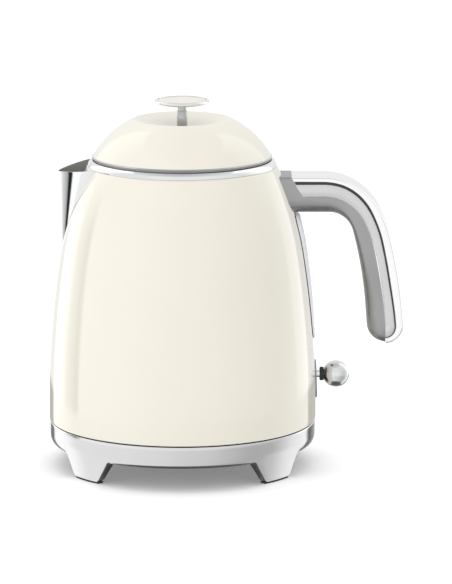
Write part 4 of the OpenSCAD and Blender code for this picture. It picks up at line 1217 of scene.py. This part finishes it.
# ---------------------------------------------------------- lever switch
# A chromed ball on a polished stem, with a rubber collar behind it. The
# stem swings in a slot in a small steel plate on the jug's side.
plate_low, plate_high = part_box("lever_plate")
plate_outer, _ = stadium(plate_low.z, plate_high.z, 5.9 * MM)
slot_inner, _ = stadium(lever_height - 6.3 * MM, lever_height + 2.85 * MM, 2.85 * MM)
plate_loop = [(1, 0.06), (1, 0.55), (0.93, 0.95), (0.8, 1.0), (0.15, 1.0),
              (0.03, 0.92), (0, 0.6), (0, 0.06)]
plate_grid = np.stack([
    on_jug(*(slot_inner * (1 - share) + plate_outer * share).T, level * MM)
    for share, level in plate_loop], 1)
lever_plate = grid_object("lever_plate_pressed", plate_grid, wrap_rows=True,
                          wrap_columns=True)
dark_steel = surface_material(
    "dark_steel", (0.28, 0.285, 0.29), (0.36, 0.365, 0.37), 0.28, metallic=1,
    grain=1500, grain_depth=0.08)
finish_piece(lever_plate, dark_steel, "jug", "polished_steel", "lever_plate")


def turned_along_x(name, outline, count=96, closed=False):
    """Carries an outline of (distance along X, radius) points round the
    lever's own axis. A closed outline makes a hollow ring, an open one
    starts and ends on the axis."""
    turn = np.linspace(0, 2 * np.pi, count, endpoint=False)[:, None]
    x, radius = outline[:, 0], outline[:, 1]
    grid = np.stack([np.broadcast_to(x, (count, len(x))),
                     radius * np.cos(turn), lever_height + radius * np.sin(turn)], -1)
    return grid_object(name, grid, wrap_rows=True, wrap_columns=closed)


ball_low, ball_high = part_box("lever_ball")
ball_r = (ball_high.y - ball_low.y) / 2
ball_x = ball_high.x - ball_r
flat_turn = math.acos((ball_x - ball_low.x) / ball_r)
ball_turn = np.linspace(np.pi - flat_turn, 0, 48)
ball_outline = np.vstack([
    (ball_low.x, 0),
    np.stack([ball_x + ball_r * np.cos(ball_turn), ball_r * np.sin(ball_turn)], 1)])
lever_ball = turned_along_x("lever_ball_chromed", ball_outline)
ball_chrome = surface_material(
    "ball_chrome", (0.72, 0.725, 0.73), (0.78, 0.785, 0.79), 0.2, metallic=1,
    grain=900, grain_depth=0.02, roughness_spread=0.03)
finish_piece(lever_ball, ball_chrome, "lever", "polished_steel", "lever_ball")

collar_low_x, collar_high_x = (corner.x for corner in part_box("lever_collar"))
grommet_r = (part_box("lever_collar")[1].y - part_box("lever_collar")[0].y) / 2
# its face is cupped to the ball
grommet_core = rounded_outline(
    [(collar_low_x, stem_r + 0.05 * MM), (collar_low_x, grommet_r),
     (collar_high_x + 0.8 * MM, grommet_r - 0.1 * MM),
     (collar_high_x + 0.1 * MM, stem_r + 0.1 * MM)],
    np.array([0, 0.8, 0.4, 0]) * MM)
lever_collar = turned_along_x("lever_collar_rubber", grommet_core, closed=True)
finish_piece(lever_collar, black_rubber, "lever", "black_rubber", "lever_collar")

rod_low, rod_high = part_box("lever_stem")
rod_outline = np.array([(rod_low.x, 0), (rod_low.x, stem_r * 0.9),
                        (rod_low.x + 0.2 * MM, stem_r),
                        (rod_high.x - 0.2 * MM, stem_r),
                        (rod_high.x, stem_r * 0.9), (rod_high.x, 0)])
lever_stem = turned_along_x("lever_stem_polished", rod_outline)
finish_piece(lever_stem, mirror_steel, "lever", "polished_steel", "lever_stem")


# ------------------------------------------------------ heater and works
# Under the chamber's floor: a tubular element brazed to an aluminium
# plate, its terminals, and two copper-toned bimetal discs.
plate_aluminium = surface_material(
    "plate_aluminium", (0.58, 0.585, 0.59), (0.68, 0.685, 0.69), 0.35,
    metallic=1, grain=1100, grain_depth=0.2)
heat_toned_steel = surface_material(
    "heat_toned_steel", (0.22, 0.17, 0.14), (0.42, 0.36, 0.3), 0.4,
    metallic=1, grain=700, grain_depth=0.2, blotch=120)
copper_tone = surface_material(
    "copper_tone", (0.68, 0.34, 0.2), (0.8, 0.45, 0.28), 0.28, metallic=1,
    grain=900, grain_depth=0.1, blotch=160)
dress_nodes(plate_aluminium, "diffuser_plate")
dress_nodes(heat_toned_steel, "heating_element", "element_terminals")
dress_nodes(copper_tone, "bimetal_discs")


# ------------------------------------------------------------------- end
# The enamel shows no image of the handle, whose pieces are kept out of
# reflections, as are the lever's and the water gauge.
for piece in (bow, insert, groove_shade_sheet, grip, lever_ball, lever_collar, lever_plate,
              water_gauge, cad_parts["handle_tongue"],
              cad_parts["handle_screws"]):
    piece.visible_glossy = False
